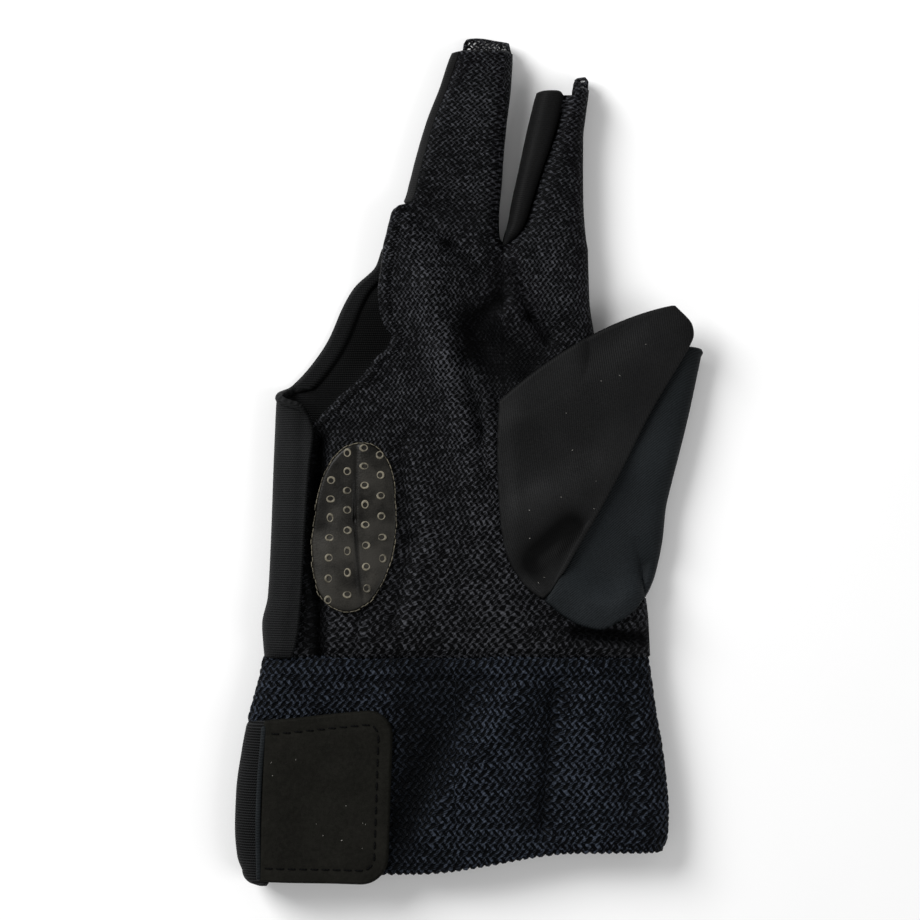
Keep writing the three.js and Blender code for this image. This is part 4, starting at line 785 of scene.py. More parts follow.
def thumb_back(u, v):
    """The far layer: from under the fold, over the inner side as half an ellipse, back along the table."""
    over_end, under_start = THUMB_PARTS
    apart = ease(PART_START, PART_END, v)
    tuck = mix(-2 * SEAM_GAP, TUCK, ease(PART_END, THUMB_FULL, v))
    start = thumb_point(v * THUMB_LENGTH, fold_beside(v) * THUMB_WIDTH - tuck)
    side_row = mix(SIDE_START, SIDE_END, v)
    end = thumb_point(side_row * THUMB_LENGTH, outer_beside(side_row) * THUMB_WIDTH)
    closed = side_closed(end[..., 1] / HAND_LENGTH)
    clear = mix(SEAM_GAP - THUMB_INSET, LYCRA_WALL / 2 + SEAM_GAP, closed)
    meet = hand_right(end[..., 1] / HAND_LENGTH) + clear
    turn = np.minimum(THUMB_TURN, 0.9 * (end[..., 0] - meet)) * mix(0.25, 1, ease(0.04, 0.4, v))
    share = np.minimum(u / over_end, 1) * (1 - turn / (end[..., 0] - start[..., 0]))
    flat = mix(start, end, share[..., None])
    foot = hand_point(foot_across(share), foot_along(share))
    chord = mix(THUMB_FOOT, hand_point(foot_across(1), foot_along(1)), share[..., None])
    flat = flat + (foot - chord) * (1 - ease(0, 0.4, v))[..., None]
    over = palm_level(flat[..., 0], flat[..., 1]) + OVER_KNIT
    top = mix(over, FOLD_LEVEL, ease(PART_START, THUMB_FULL, v)) - (FLAP_DROOP + OVER_LYCRA) * apart
    inside = ease(0.1, 0.25, v) * ease(0, 0.08, u)
    top = top + inside * (folds_at(WRAP_FOLDS, flat[..., 0], flat[..., 1])
                          + ripple(flat[..., 0], flat[..., 1], 20, 0.12, 6))
    bottom = LYCRA_WALL / 2
    angle = half_turn(u, over_end, under_start)
    x = flat[..., 0] + turn * np.cos(angle)
    y = mix(flat[..., 1], end[..., 1], ease(over_end, under_start, u))
    run = np.maximum(u - under_start, 0) / (1 - under_start)
    wrap = np.stack([mix(x, meet, run), y, mix(bottom, top, (1 + np.sin(angle)) / 2)], -1)
    return np.where((u <= over_end)[..., None], np.concatenate([flat, top[..., None]], -1), wrap)


# The cuff and its closure

cuff_left = line_of(CUFF_SIDES, "left", CUFF_WIDTH)
cuff_right = line_of(CUFF_SIDES, "right", CUFF_WIDTH)
STRAP_TURN = SIDE_TURN + STRAP_OUT
STRAP_CORNER = 3.0
TAB_LEFT = -49.4


def under_strap(v):
    return ease(STRAP_ROWS[0] + 0.03, STRAP_ROWS[0] + 0.1, v)


def knit_left(v):
    return cuff_left(v) + STRAP_OUT * under_strap(v)


def strap_end(v):
    return cuff_left(v) + STRAP_TURN + STRAP_LAP


def cuff_y(x, v):
    return -SEAM_GAP / 2 - v * CUFF_LENGTH * (1 - CUFF_RISE * ease(-0.1, 0.3, x / CUFF_WIDTH))


def cuff_levels(x, v, fine=True):
    """The levels of the cuff's two layers, which meet in a quarter of an ellipse at each side."""
    sides = 2 - rise((x - knit_left(v)) / SIDE_TURN) - rise((cuff_right(v) - x) / SIDE_TURN)
    strap = under_strap(v) * (1 - ease(LIFT_RUN, 2 * LIFT_RUN, x - strap_end(v)))
    lift = (STRAP_WALL + SEAM_GAP) * strap
    middle = (CUFF_HEIGHT + lift) / 2
    floor = KNIT_WALL / 2 + lift
    y = cuff_y(x, v)
    folds = folds_at(CUFF_FOLDS, x, y) + (ripple(x, y, 14, 0.14, 9) if fine else 0)
    top = CUFF_TOP - wrist_groove(y) + folds * np.clip(1 - sides, 0, 1)
    return top - (top - middle - SEAM_GAP / 2) * sides, floor + (middle - SEAM_GAP / 2 - floor) * sides


def cuff_sheet(layer):
    def place(u, v):
        v = 1 - v
        x = across_row(u, knit_left(v), cuff_right(v), CUFF_END, CUFF_END)
        return np.stack([x, cuff_y(x, v), cuff_levels(x, v)[layer]], -1)
    return place


def strap_band(u, v):
    """The strap: half an ellipse round the outer side, out of the knit at its top, its lower corner rounded."""
    over_end, under_start = STRAP_PARTS
    v = mix(STRAP_ROWS[1], STRAP_ROWS[0], v)
    left = cuff_left(np.minimum(v, 1))
    angle = half_turn(u, over_end, under_start)
    lap = STRAP_LAP * np.maximum(np.maximum(over_end - u, u - under_start), 0) / over_end
    sunk = 1 - ease(STRAP_ROWS[0], STRAP_ROWS[0] + 0.08, v)
    corner = STRAP_CORNER * (1 - rise((STRAP_ROWS[1] - v) * CUFF_LENGTH / STRAP_CORNER))
    x = left + STRAP_TURN * (1 - np.cos(angle)) + lap + (1.5 * STRAP_OUT * sunk + corner) * np.cos(angle)
    z = mix(STRAP_WALL / 2, CUFF_TOP + STRAP_OUT * (1 - 2 * sunk), (1 + np.sin(angle)) / 2)
    tucked = 2.4 * ease(TAB_LEFT + 0.4, TAB_LEFT + 1.6, x) * ease(0.9, STRAP_ROWS[1], v)
    return np.stack([x, tucked - v * CUFF_LENGTH, z], -1)


def turned(across, along, degrees, middle):
    """Places turned by an angle about the origin and then moved to a middle."""
    c, s = np.cos(np.radians(degrees)), np.sin(np.radians(degrees))
    return np.stack([across * c - along * s + middle[0], across * s + along * c + middle[1]], -1)


TAB_MIDDLE = (TAB_AT[0] * CUFF_WIDTH, -TAB_AT[1] * CUFF_LENGTH)
TAB_STITCH_INSET = 3.0
TAB_START = 1.0 - TAB_WIDTH / 2
TAB_SLANT = 0.13


def tab_slant(across, along):
    """How far a place on the tab is shifted along it: the upper end rises to the right, the lower is level."""
    return TAB_SLANT * across * ease(-0.5, 0.5, along / TAB_LENGTH)


def tab_inset(across, along):
    """How far a place on the tab is from its outline, inwards: rounded at the right, running on at the left."""
    dx = np.maximum(across, 0) - (TAB_WIDTH / 2 - TAB_CORNER)
    dy = np.abs(along) - (TAB_LENGTH / 2 - TAB_CORNER)
    outside = np.hypot(np.maximum(dx, 0), np.maximum(dy, 0))
    return TAB_CORNER - outside - np.minimum(np.maximum(dx, dy), 0)


def tab_level(flat):
    """The level of the tab's middle surface over the strap at its outer side and the cuff at its inner."""
    row = np.clip(-flat[..., 1] / CUFF_LENGTH, 0, 1)
    knit = np.maximum(flat[..., 0], knit_left(row) + SIDE_TURN)
    strap = (STRAP_WALL + SEAM_GAP) * (1 - ease(0, 16, flat[..., 0] - strap_end(row)))
    return cuff_levels(knit, row, fine=False)[0] + (KNIT_WALL + TAB_WALL) / 2 + SEAM_GAP + strap


def tab_place(across, along):
    """A place on the tab: its level, the seam's groove and a little unevenness."""
    inset = tab_inset(across, along)
    flat = turned(across, along + tab_slant(across, along), TAB_TILT, TAB_MIDDLE)
    groove = 0.22 * bell(inset - TAB_STITCH_INSET, 0.7)
    level = tab_level(flat) - groove + ripple(across, along, 24, 0.12, 10)
    return np.concatenate([flat, level[..., None]], -1)


def tab_surface(u, v):
    """Rows of a rectangle with two rounded corners, each as wide as the outline is there."""
    along = (v - 0.5) * TAB_LENGTH
    from_end = np.minimum(v, 1 - v) * TAB_LENGTH
    right = TAB_WIDTH / 2 - TAB_CORNER * (1 - rise(from_end / TAB_CORNER))
    return tab_place(mix(TAB_START, right, u), along)


def tab_tone(x, y):
    """Darker along the tab's stitches and paler on the rim outside them, as numbers that the tab's material does
    not read.
    """
    back = turned(x - TAB_MIDDLE[0], y - TAB_MIDDLE[1], -TAB_TILT, (0, 0))
    across, along = back[..., 0], back[..., 1]
    inset = tab_inset(across, along - tab_slant(across, along))
    seam = bell(inset - TAB_STITCH_INSET, 0.55)
    return 1 - 0.5 * seam + 0.15 * (1 - ease(1.5, TAB_STITCH_INSET, inset))


PAD_MIDDLE = (PAD_AT[0] * HAND_WIDTH, PAD_AT[1] * HAND_LENGTH)
# The pad's outline, anticlockwise from its right side, and its columns of raised rings: where each column
# stands, its top ring, the step to the next ring and how much each step grows
PAD_OUTLINE = table(
    "x y",
    (-15.4, 33.0), (-15.4, 39.1), (-15.8, 44.3), (-16.5, 48.6), (-17.6, 51.7), (-19.5, 54.3),
    (-21.7, 55.4), (-25.6, 55.4), (-28.2, 54.5), (-30.8, 52.5), (-32.9, 49.5), (-34.7, 45.2),
    (-35.5, 40.4), (-36.3, 35.6), (-36.8, 32.2), (-37.0, 28.7), (-36.9, 25.2), (-36.6, 21.8),
    (-35.9, 18.7), (-34.7, 16.1), (-32.9, 14.0), (-30.3, 12.2), (-27.3, 11.8), (-24.4, 12.7),
    (-22.5, 14.0), (-19.9, 17.4), (-18.2, 20.9), (-16.7, 24.4), (-15.9, 28.7),
)
PAD_COLUMNS = table(
    "x lean top step growth count",
    (-32.0, -0.13, 45.9, 4.7, 0.075, 7), (-27.8, 0.0, 53.0, 4.7, 0.075, 8),
    (-23.5, 0.1, 54.3, 4.66, 0.075, 8), (-19.4, 0.14, 52.5, 5.2, 0.03, 6),
)
# How many of the outline's slowest waves are kept, so that it is round
PAD_WAVES = 7


def pad_reach():
    """The pad's radius at 720 angles: the outline's own radii, kept to their slowest waves."""
    x, y = PAD_OUTLINE["x"] - PAD_MIDDLE[0], PAD_OUTLINE["y"] - PAD_MIDDLE[1]
    angles = np.arange(720) * np.pi / 360
    radii = np.interp(angles, np.arctan2(y, x) % TURN, np.hypot(x, y), period=TURN)
    waves = np.fft.rfft(radii)
    waves[PAD_WAVES:] = 0
    return angles, np.fft.irfft(waves)


PAD_ANGLES, PAD_RADII = pad_reach()


def pad_place(flat):
    """A place on the pad: it lies on the palm cloth, sunk along its crease."""
    x, y = flat[..., 0], flat[..., 1]
    level = palm_level(x, y) + (KNIT_WALL + PAD_WALL) / 2 + SEAM_GAP
    level = level + folds_at(PAD_CREASE, x, y) + ripple(x, y, 12, 0.1, 12)
    return np.concatenate([flat, level[..., None]], -1)


def pad_outline(angle, share=1.0):
    """The pad's outline at an angle and a share of its size."""
    reach = np.interp(angle, PAD_ANGLES, PAD_RADII, period=TURN) * share
    return np.stack([PAD_MIDDLE[0] + reach * np.cos(angle), PAD_MIDDLE[1] + reach * np.sin(angle)], -1)


def pad_surface(u, v):
    """Rings from the pad's middle to its outline."""
    return pad_place(pad_outline(TURN * v, np.maximum(u, 0.001)))


# Meshes

def unit(vectors):
    return vectors / np.maximum(np.linalg.norm(vectors, axis=-1, keepdims=True), 1e-12)


def new_piece(name, points, faces, flat, finish, slot, stands_for=(), painted_shading=1.0):
    """A smooth mesh from points in millimetres, faces and each point's place on the flat cloth.

    A face has four corners, the last two the same for a three-cornered one. The last argument is painted
    light and shade, as a number or as a function of the place: paler where a highlight is painted, darker where
    shade is.
    """
    mesh = bpy.data.meshes.new(name)
    mesh.vertices.add(len(points))
    mesh.vertices.foreach_set("co", ((points + ORIGIN) * MM).astype(np.float32).ravel())
    own = np.ones(faces.shape, bool)
    own[:, 3] = faces[:, 3] != faces[:, 2]
    corners = faces[own]
    mesh.loops.add(len(corners))
    mesh.loops.foreach_set("vertex_index", corners.astype(np.int32))
    mesh.polygons.add(len(faces))
    mesh.polygons.foreach_set("loop_start", np.r_[0, np.cumsum(own.sum(1))[:-1]].astype(np.int32))
    mesh.polygons.foreach_set("use_smooth", np.ones(len(faces), bool))
    mesh.update(calc_edges=True)
    layer = mesh.uv_layers.new(name="UVMap")
    layer.data.foreach_set("uv", (flat[corners] * MM).astype(np.float32).ravel())
    # Painted light and shade for each point, which the cloth materials multiply into their colour
    painted_shading_values = painted_shading(points[:, 0], points[:, 1]) if callable(painted_shading) else np.full(len(points), painted_shading)
    mesh.attributes.new("painted_shading", "FLOAT", "POINT").data.foreach_set("value", painted_shading_values.astype(np.float32))
    if mesh.validate():
        raise RuntimeError(f"{name} has faces that can't be")
    piece = bpy.data.objects.new(name, mesh)
    bpy.context.scene.collection.objects.link(piece)
    mesh.materials.append(finish)
    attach(piece, "root")
    if stands_for:
        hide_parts(*stands_for)
    return piece


def mesh_flat(points, u, v):
    """The mesh knit's flat places: coarser stitches near the wrist, flatter ones on the fingers.

    Across, a place is scaled by how fine the stitches are there. Along, the scale is summed up to there.
    """
    x, y, z = points[..., 0], points[..., 1], points[..., 2]
    levels = np.linspace(-5, 170, 700)
    palm, finger = ease(12, 62, levels), ease(96, 124, levels)
    across_scale = mix(mix(COARSE[0], 1, palm), FINGER[0], finger)
    along_scale = mix(mix(COARSE[1], 1, palm), FINGER[1], finger)
    rows = np.cumsum(along_scale) * (levels[1] - levels[0])
    outward = np.where(x > CROTCH_X, 1, -1)
    across = (x - CROTCH_X + outward * 0.5 * np.maximum(top_level(y / HAND_LENGTH) - z, 0))
    lean = 0.15 * ease(96, 122, y) * (y - 100)
    columns = (across - lean) * np.interp(y, levels, across_scale)
    return uneven(np.stack([columns, np.interp(y, levels, rows)], -1))


class Strip:
    """One patch of a cloth: a surface of two parameters, its wall, and its places on the flat cloth."""

    def __init__(self, place, us, vs, wall, flat=None, relief=None):
        self.u, self.v = grid(us, vs)
        self.points = place(self.u, self.v)
        self.wall = np.broadcast_to(wall(self.u, self.v) if callable(wall) else float(wall), self.u.shape)
        self.flat = self.unrolled() if flat is None else flat(self.points, self.u, self.v)
        across, along = np.gradient(self.points, axis=1), np.gradient(self.points, axis=0)
        self.normals = unit(np.cross(across, along))
        if relief is not None:
            self.points = self.points + self.normals * relief(self.flat, self.u, self.v)[..., None]
        self.kept = np.ones(tuple(n - 1 for n in self.u.shape), bool)

    def unrolled(self):
        """Distances along the rows from their middle, and along the middle column."""
        steps = np.linalg.norm(np.diff(self.points, axis=1), axis=-1)
        across = np.concatenate([np.zeros((len(steps), 1)), np.cumsum(steps, 1)], 1)
        across -= across[:, across.shape[1] // 2, None]
        down = np.linalg.norm(np.diff(self.points[:, self.points.shape[1] // 2], axis=0), axis=-1)
        along = np.r_[0, np.cumsum(down)]
        return np.stack([across, np.broadcast_to(along[:, None], across.shape)], -1)

    def area(self):
        """The cloth's own area in square metres, from its middle surface."""
        p = self.points
        d1, d2 = p[1:, 1:] - p[:-1, :-1], p[1:, :-1] - p[:-1, 1:]
        return float((np.linalg.norm(np.cross(d1, d2), axis=-1) / 2 * self.kept).sum()) * MM * MM

    def cut(self, inside, to_edge):
        """Leaves out the faces inside a hole and moves the corners of the faces across its edge onto it."""
        within = inside(self.points[..., 0], self.points[..., 1])
        corner = [within[:-1, :-1], within[:-1, 1:], within[1:, 1:], within[1:, :-1]]
        self.kept &= ~np.logical_and.reduce(corner)
        self.points[within, :2] = to_edge(self.points[within, :2])


# Points closer than this are one, and how far a rim bulges as a share of the wall
WELD = 0.001
RIM_ROUND = 0.42


def cloth(strips):
    """Points, faces and flat places of one closed cloth.

    The strips' middle points are welded where they meet. Half the wall is laid off to each side along the
    normals, and every free edge gets a rounded rim of one more row of points, pushed outwards.
    """
    points = np.concatenate([s.points.reshape(-1, 3) for s in strips])
    normals = np.concatenate([s.normals.reshape(-1, 3) for s in strips])
    walls = np.concatenate([s.wall.ravel() for s in strips])
    flats = np.concatenate([s.flat.reshape(-1, 2) for s in strips])
    _, first, ids = np.unique(np.round(points / WELD), axis=0, return_index=True, return_inverse=True)
    ids = ids.ravel()
    count = len(first)
    normal = np.zeros((count, 3))
    np.add.at(normal, ids, normals)
    normal = unit(normal)
    middle, wall, flat = points[first], walls[first], flats[first]
    quads, start = [], 0
    for s in strips:
        at = ids[start:start + s.u.size].reshape(s.u.shape)
        start += s.u.size
        quads.append(np.stack([at[:-1, :-1], at[:-1, 1:], at[1:, 1:], at[1:, :-1]], -1)[s.kept])
    quads = np.concatenate(quads)
    quads = quads[(quads != np.roll(quads, 1, 1)).all(1)]
    front, back = middle + normal * wall[:, None] / 2, middle - normal * wall[:, None] / 2
    edges = np.stack([quads, np.roll(quads, -1, 1)], -1).reshape(-1, 2)
    code = edges[:, 0].astype(np.int64) * count + edges[:, 1]
    free = edges[~np.isin(code, edges[:, 1].astype(np.int64) * count + edges[:, 0])]
    outward = np.zeros((count, 3))
    way = np.cross(unit(middle[free[:, 1]] - middle[free[:, 0]]), normal[free[:, 0]])
    np.add.at(outward, free[:, 0], way)
    np.add.at(outward, free[:, 1], way)
    rim = middle + unit(outward) * wall[:, None] * RIM_ROUND
    a, b = free[:, 0], free[:, 1]
    faces = np.concatenate([
        quads,
        quads[:, ::-1] + count,
        np.stack([a, a + 2 * count, b + 2 * count, b], 1),
        np.stack([a + 2 * count, a + count, b + count, b + 2 * count], 1),
    ])
    used, faces = np.unique(faces, return_inverse=True)
    return (np.concatenate([front, back, rim])[used], faces.reshape(-1, 4),
            np.concatenate([flat, flat, flat])[used])


def add_cloth(name, strips, finish, slot, node, painted_shading=1.0):
    """One piece of cloth that stands for a node. The size that its middle surface unrolls to is worked out and
    not used.
    """
    piece = new_piece(name, *cloth(strips), finish, slot, (node,), painted_shading)
    area = sum(s.area() for s in strips)
    width = max(sum(np.ptp(s.flat[..., 0]) for s in strips) * MM, 0.01)
    length = max(max(np.ptp(s.flat[..., 1]) for s in strips) * MM, area / width)
    return piece


def fan(a, b, pole):
    """Three-cornered faces from pairs of points to a pole."""
    return np.stack([a, b, np.full(len(a), pole), np.full(len(a), pole)], -1)


def repeated(faces, count, size):
    """The faces of that many pieces with that many points each."""
    return (faces[None] + (np.arange(count) * size)[:, None, None]).reshape(-1, 4)


def tubes(paths, radius, sides=5, up=UP):
    """Closed round threads: rings of points about each path's points, with a pole at each end.

    paths is (threads, points, 3), radius is (threads, points) or a number, up the way that the rings start.
    """
    count, length = paths.shape[:2]
    radius = np.broadcast_to(radius, (count, length))
    tangent = unit(np.gradient(paths, axis=1))
    side = unit(np.cross(tangent, np.broadcast_to(up, paths.shape)))
    up = np.cross(side, tangent)
    angle = np.arange(sides) * TURN / sides
    ring = side[:, :, None] * np.cos(angle)[:, None] + up[:, :, None] * np.sin(angle)[:, None]
    rings = paths[:, :, None] + ring * radius[:, :, None, None]
    ends = paths[:, [0, -1]] + tangent[:, [0, -1]] * radius[:, [0, -1], None] * np.array([-0.7, 0.7])[:, None]
    points = np.concatenate([rings.reshape(count, -1, 3), ends], 1)
    at = np.arange(length * sides).reshape(length, sides)
    nxt = np.roll(at, -1, 1)
    wall = np.stack([at[:-1], nxt[:-1], nxt[1:], at[1:]], -1).reshape(-1, 4)
    first, last = length * sides, length * sides + 1
    per = points.shape[1]
    faces = repeated(np.concatenate([wall, fan(nxt[0], at[0], first), fan(at[-1], nxt[-1], last)]), count, per)
    flat = np.stack([np.arange(per) % sides * 0.3, np.arange(per) // sides * 0.5], -1)
    return points.reshape(-1, 3), faces, np.tile(flat, (count, 1))


def run_of(line):
    """The distance from a line's start to each of its points."""
    return np.r_[0, np.cumsum(np.linalg.norm(np.diff(line, axis=0), axis=1))]


def picked(at, run, values):
    """Values in three columns at distances along a line."""
    return np.stack([np.interp(at, run, values[:, k]) for k in range(3)], 1)


def walk(line, pitch):
    """Places and directions at even distances along a line of points."""
    run = run_of(line)
    at = np.arange(0.5 * pitch, run[-1], pitch)
    return picked(at, run, line), unit(picked(at, run, np.gradient(line, axis=0)))


def stitch_arc(t, lift, sink):
    """A stitch's height from its end at -1 to the other at 1: up out of the cloth, along it and down again."""
    return UP * (lift * (1 - t**4) - sink * np.abs(t) ** 6)[:, None]


def stitch_paths(places, ways, length, lift, sink=0.25):
    """A short arc for each stitch, along its way."""
    t = np.linspace(-0.5, 0.5, 7)
    return places[:, None] + ways[:, None] * (t * length)[:, None] + stitch_arc(2 * t, lift, sink)


# Materials

class Number:
    """A number that varies over a surface: operators on it add Math nodes to its material."""

    def __init__(self, finish, socket):
        self.finish, self.socket = finish, socket

    def do(self, operation, *others):
        return self.finish.math(operation, self, *others)

    def __add__(self, other):
        return self.do("ADD", other)

    def __sub__(self, other):
        return self.do("SUBTRACT", other)

    def __rsub__(self, other):
        return self.finish.math("SUBTRACT", other, self)

    def __mul__(self, other):
        return self.do("MULTIPLY", other)

    def __truediv__(self, other):
        return self.do("DIVIDE", other)

    __radd__, __rmul__ = __add__, __mul__

    def step(self, start, end):
        """0 before start and 1 after end, smoothly."""
        return self.finish.number(
            "ShaderNodeMapRange", {"interpolation_type": "SMOOTHSTEP"}, self, start, end, 0.0, 1.0)


class Finish:
    """A material under construction, with the cloth's flat places and shader as starting points."""

    def __init__(self, name, colour, **fixed):
        self.material = bpy.data.materials.new(name)
        self.material.use_nodes = True
        self.nodes, self.links = self.material.node_tree.nodes, self.material.node_tree.links
        self.shader = self.nodes["Principled BSDF"]
        self.colour = tuple(colour)
        for socket, value in fixed.items():
            self.shader.inputs[socket.replace("_", " ")].default_value = value

    def node(self, kind, settings, *inputs):
        """A node with its settings, and its sockets set or linked in order."""
        node = self.nodes.new(kind)
        for name, value in settings.items():
            setattr(node, name, value)
        for socket, value in zip([s for s in node.inputs if s.enabled], inputs):
            if isinstance(value, Number):
                value = value.socket
            if isinstance(value, bpy.types.NodeSocket):
                self.links.new(value, socket)
            elif value is not None:
                socket.default_value = value
        return node

    def number(self, kind, settings, *inputs):
        return Number(self, self.node(kind, settings, *inputs).outputs[0])

    def math(self, operation, *inputs):
        return self.number("ShaderNodeMath", {"operation": operation}, *inputs)

    def flat(self):
        """The two places on the flat cloth, in millimetres."""
        places = self.node("ShaderNodeUVMap", {"uv_map": "UVMap"}).outputs[0]
        split = self.node("ShaderNodeSeparateXYZ", {}, places)
        return Number(self, split.outputs[0]) * (1 / MM), Number(self, split.outputs[1]) * (1 / MM)

    def written(self, name):
        """A number that the mesh holds for each of its points."""
        return Number(self, self.node("ShaderNodeAttribute", {"attribute_name": name}).outputs["Fac"])

    def place(self):
        """The place in the model, in metres."""
        return self.node("ShaderNodeTexCoord", {}).outputs["Object"]

    def noise(self, scale, detail=2.0, at=None):
        """Soft noise from 0 to 1, scale times finer than a metre."""
        made = self.node("ShaderNodeTexNoise", {})
        self.links.new(self.place() if at is None else at, made.inputs["Vector"])
        made.inputs["Scale"].default_value = scale
        made.inputs["Detail"].default_value = detail
        return Number(self, made.outputs[0])

    def tint(self, share, low, high):
        """The finish's own colour, from low times to high times as bright as share goes from 0 to 1."""
        blend = self.nodes.new("ShaderNodeMix")
        blend.data_type = "RGBA"
        self.links.new(share.socket, blend.inputs[0])
        for socket, times in ((blend.inputs[6], low), (blend.inputs[7], high)):
            socket.default_value = (*(min(c * times, 1.0) for c in self.colour), 1)
        return blend.outputs[2]

    def finish(self, colour, roughness, height, depth, alpha=None):
        """Links what varies to the shader: colour, roughness, and height as a bump of a depth in metres."""
        self.links.new(colour, self.shader.inputs["Base Color"])
        self.links.new(roughness.socket, self.shader.inputs["Roughness"])
        bump = self.nodes.new("ShaderNodeBump")
        bump.inputs["Distance"].default_value = depth
        bump.inputs["Strength"].default_value = 1.0
        self.links.new(height.socket, bump.inputs["Height"])
        self.links.new(bump.outputs[0], self.shader.inputs["Normal"])
        if alpha is not None:
            self.links.new(alpha.socket, self.shader.inputs["Alpha"])
        return self.material


# How much taller every stitch of a knit stands than its pits are deep, and how far its rows lean to and fro
TALLER = 0.15
KNIT_LEAN = 0.22


def knit_finish(name, colour, wale, course, depth, wild, lean, **fixed):
    """A knit: stitches set off by half from row to row and leaning to and fro, dark pits between, strands."""
    f = Finish(name, colour, **fixed)
    u, v = f.flat()
    wander = (f.noise(420, 1.0) - 0.5) * (wild * wale)
    u, v = u + wander, v - wander * 0.5
    u = u + (v * (np.pi / course)).do("SINE") * (lean * wale)
    row = (v * (np.pi / course)).do("COSINE")
    stitch = (u * (TURN / wale)).do("COSINE") * row + row * TALLER
    pit = (0 - stitch).step(-0.22, 0.42)
    lump = 1 - pit
    strands = ((u * 0.9 - v * 1.2) * (TURN / (wale * 0.45))).do("SINE")
    yarn, painted_glint_and_gloss = f.noise(2300, 1.0), f.noise(1200, 0.0).step(0.48, 0.72)
    each, cloudy = f.noise(620, 0.0), f.noise(70, 3.0)
    height = lump * (0.8 + strands * 0.16) + yarn * 0.3
    # Painted highlight: the stitches reach 5.2 times the pits' colour, partly the knit's own contrast and partly
    # a painted highlight; painted glints add small pale spots that are also glossier
    shade = lump * (strands * 0.16 + yarn * 0.42 + painted_glint_and_gloss * 0.4 + each * 0.5 + cloudy * 0.45 - 0.42)
    rough = 0.6 - painted_glint_and_gloss * 0.2
    return f, f.tint(shade.step(0.0, 1.0) * f.written("painted_shading"), 0.12, 5.2), rough, height, depth, pit


def mesh_material(colours, sizes):
    """The palm's mesh knit. Its holes are see-through only where the cloth is stretched over nothing."""
    f, colour, rough, height, depth, pit = knit_finish(
        "mesh_knit", colours.mesh, sizes.palm_wale / MM, sizes.palm_course / MM, 0.00028, 0.6, 0.14,
        Specular_IOR_Level=0.03)
    hole = pit.step(0.55, 0.8) * f.written("stretched")
    return f.finish(colour, rough, height, depth, 1 - hole)


def cuff_material(colours, sizes):
    f, colour, rough, height, depth, _ = knit_finish(
        "cuff_knit", colours.cuff, sizes.cuff_wale / MM, sizes.cuff_course / MM, 0.0004, 0.3, KNIT_LEAN,
        Specular_IOR_Level=0.035)
    return f.finish(colour, rough, height, depth)


def lycra_material(name, colour, rib, contrast):
    """Smooth stretch cloth: fine ribs of yarn across the flat cloth's second direction, and a soft sheen."""
    f = Finish(name, colour, Specular_IOR_Level=0.045)
    u, v = f.flat()
    drift = (f.noise(120, 1.0) - 0.5) * (0.3 * rib)
    ribs = ((v + drift) * (TURN / rib)).do("COSINE") * contrast
    loops = ((u + v * 0.5) * (TURN / (0.9 * rib))).do("COSINE") * contrast
    yarn, cloudy = f.noise(2600, 1.0), f.noise(45, 3.0)
    shade = ribs * 0.2 + loops * 0.05 + yarn * 0.34 + cloudy * 0.5
    # The colour is multiplied by the painted light and shade written on the piece
    return f.finish(f.tint(shade.step(0.0, 0.9) * f.written("painted_shading"), 0.12, 1.75), 0.5 + yarn * 0.1,
                    ribs * 0.6 + loops * 0.15 + yarn * 0.3, 0.00012)


def tab_material(colours):
    """Suede-like felt: short fibres as stretched noise, no shine."""
    f = Finish("tab_felt", colours.tab, Specular_IOR_Level=0.03)
    fine, coarse, cloudy = f.noise(4200, 2.0), f.noise(900, 3.0), f.noise(110, 3.0)
    shade = fine * 0.5 + coarse * 0.4 + cloudy * 0.4
    return f.finish(f.tint(shade.step(0.35, 0.95), 0.62, 1.6), 0.92 - cloudy * 0.06,
                    fine * 0.6 + coarse * 0.5, 0.00012)


def pad_material(colours):
    """Worn leatherette: fine grain cells, glossier where it is rubbed."""
    f = Finish("pad_leather", colours.pad, Specular_IOR_Level=0.13)
    cells = f.node("ShaderNodeTexVoronoi", {"feature": "SMOOTH_F1"})
    f.links.new(f.place(), cells.inputs["Vector"])
    cells.inputs["Scale"].default_value = 2200
    grain = Number(f, cells.outputs[0])
    cloudy, fine = f.noise(130, 4.0), f.noise(3000, 2.0)
    shade = cloudy * 0.8 + fine * 0.25
    # The colour is multiplied by the painted light and shade written on the pad: painted shade in its crease,
    # painted highlights beside it
    return f.finish(f.tint(shade.step(0.3, 0.75) * f.written("painted_shading"), 0.3, 2.6),
                    0.38 + (cloudy - 0.5) * 0.4 + fine * 0.06,
                    grain * 0.3 + fine * 0.15 + cloudy * 0.5, 0.00012)


def plain_material(name, colour, roughness, scale, low, high, **fixed):
    """A small piece's finish: its colour varied by noise, and a fine bump."""
    f = Finish(name, colour, **fixed)
    fine, cloudy = f.noise(scale, 2.0), f.noise(scale / 9, 2.0)
    return f.finish(f.tint((fine * 0.6 + cloudy * 0.6).step(0.3, 0.9), low, high),
                    roughness + (fine - 0.5) * 0.2, fine, 0.00006)


def twisted_material(name, colour, roughness):
    """Sewing thread: strands that wind along it."""
    f = Finish(name, colour, Specular_IOR_Level=0.05)
    u, v = f.flat()
    strands = (u * 3.0 + v * 6.0).do("SINE")
    fine = f.noise(3500, 1.0)
    shade = strands * 0.3 + fine * 0.6 + 0.2
    return f.finish(f.tint(shade.step(0.0, 1.0), 0.6, 1.7), roughness + fine * 0.1,
                    strands * 0.5 + fine * 0.3, 0.00008)


MATERIALS = {}


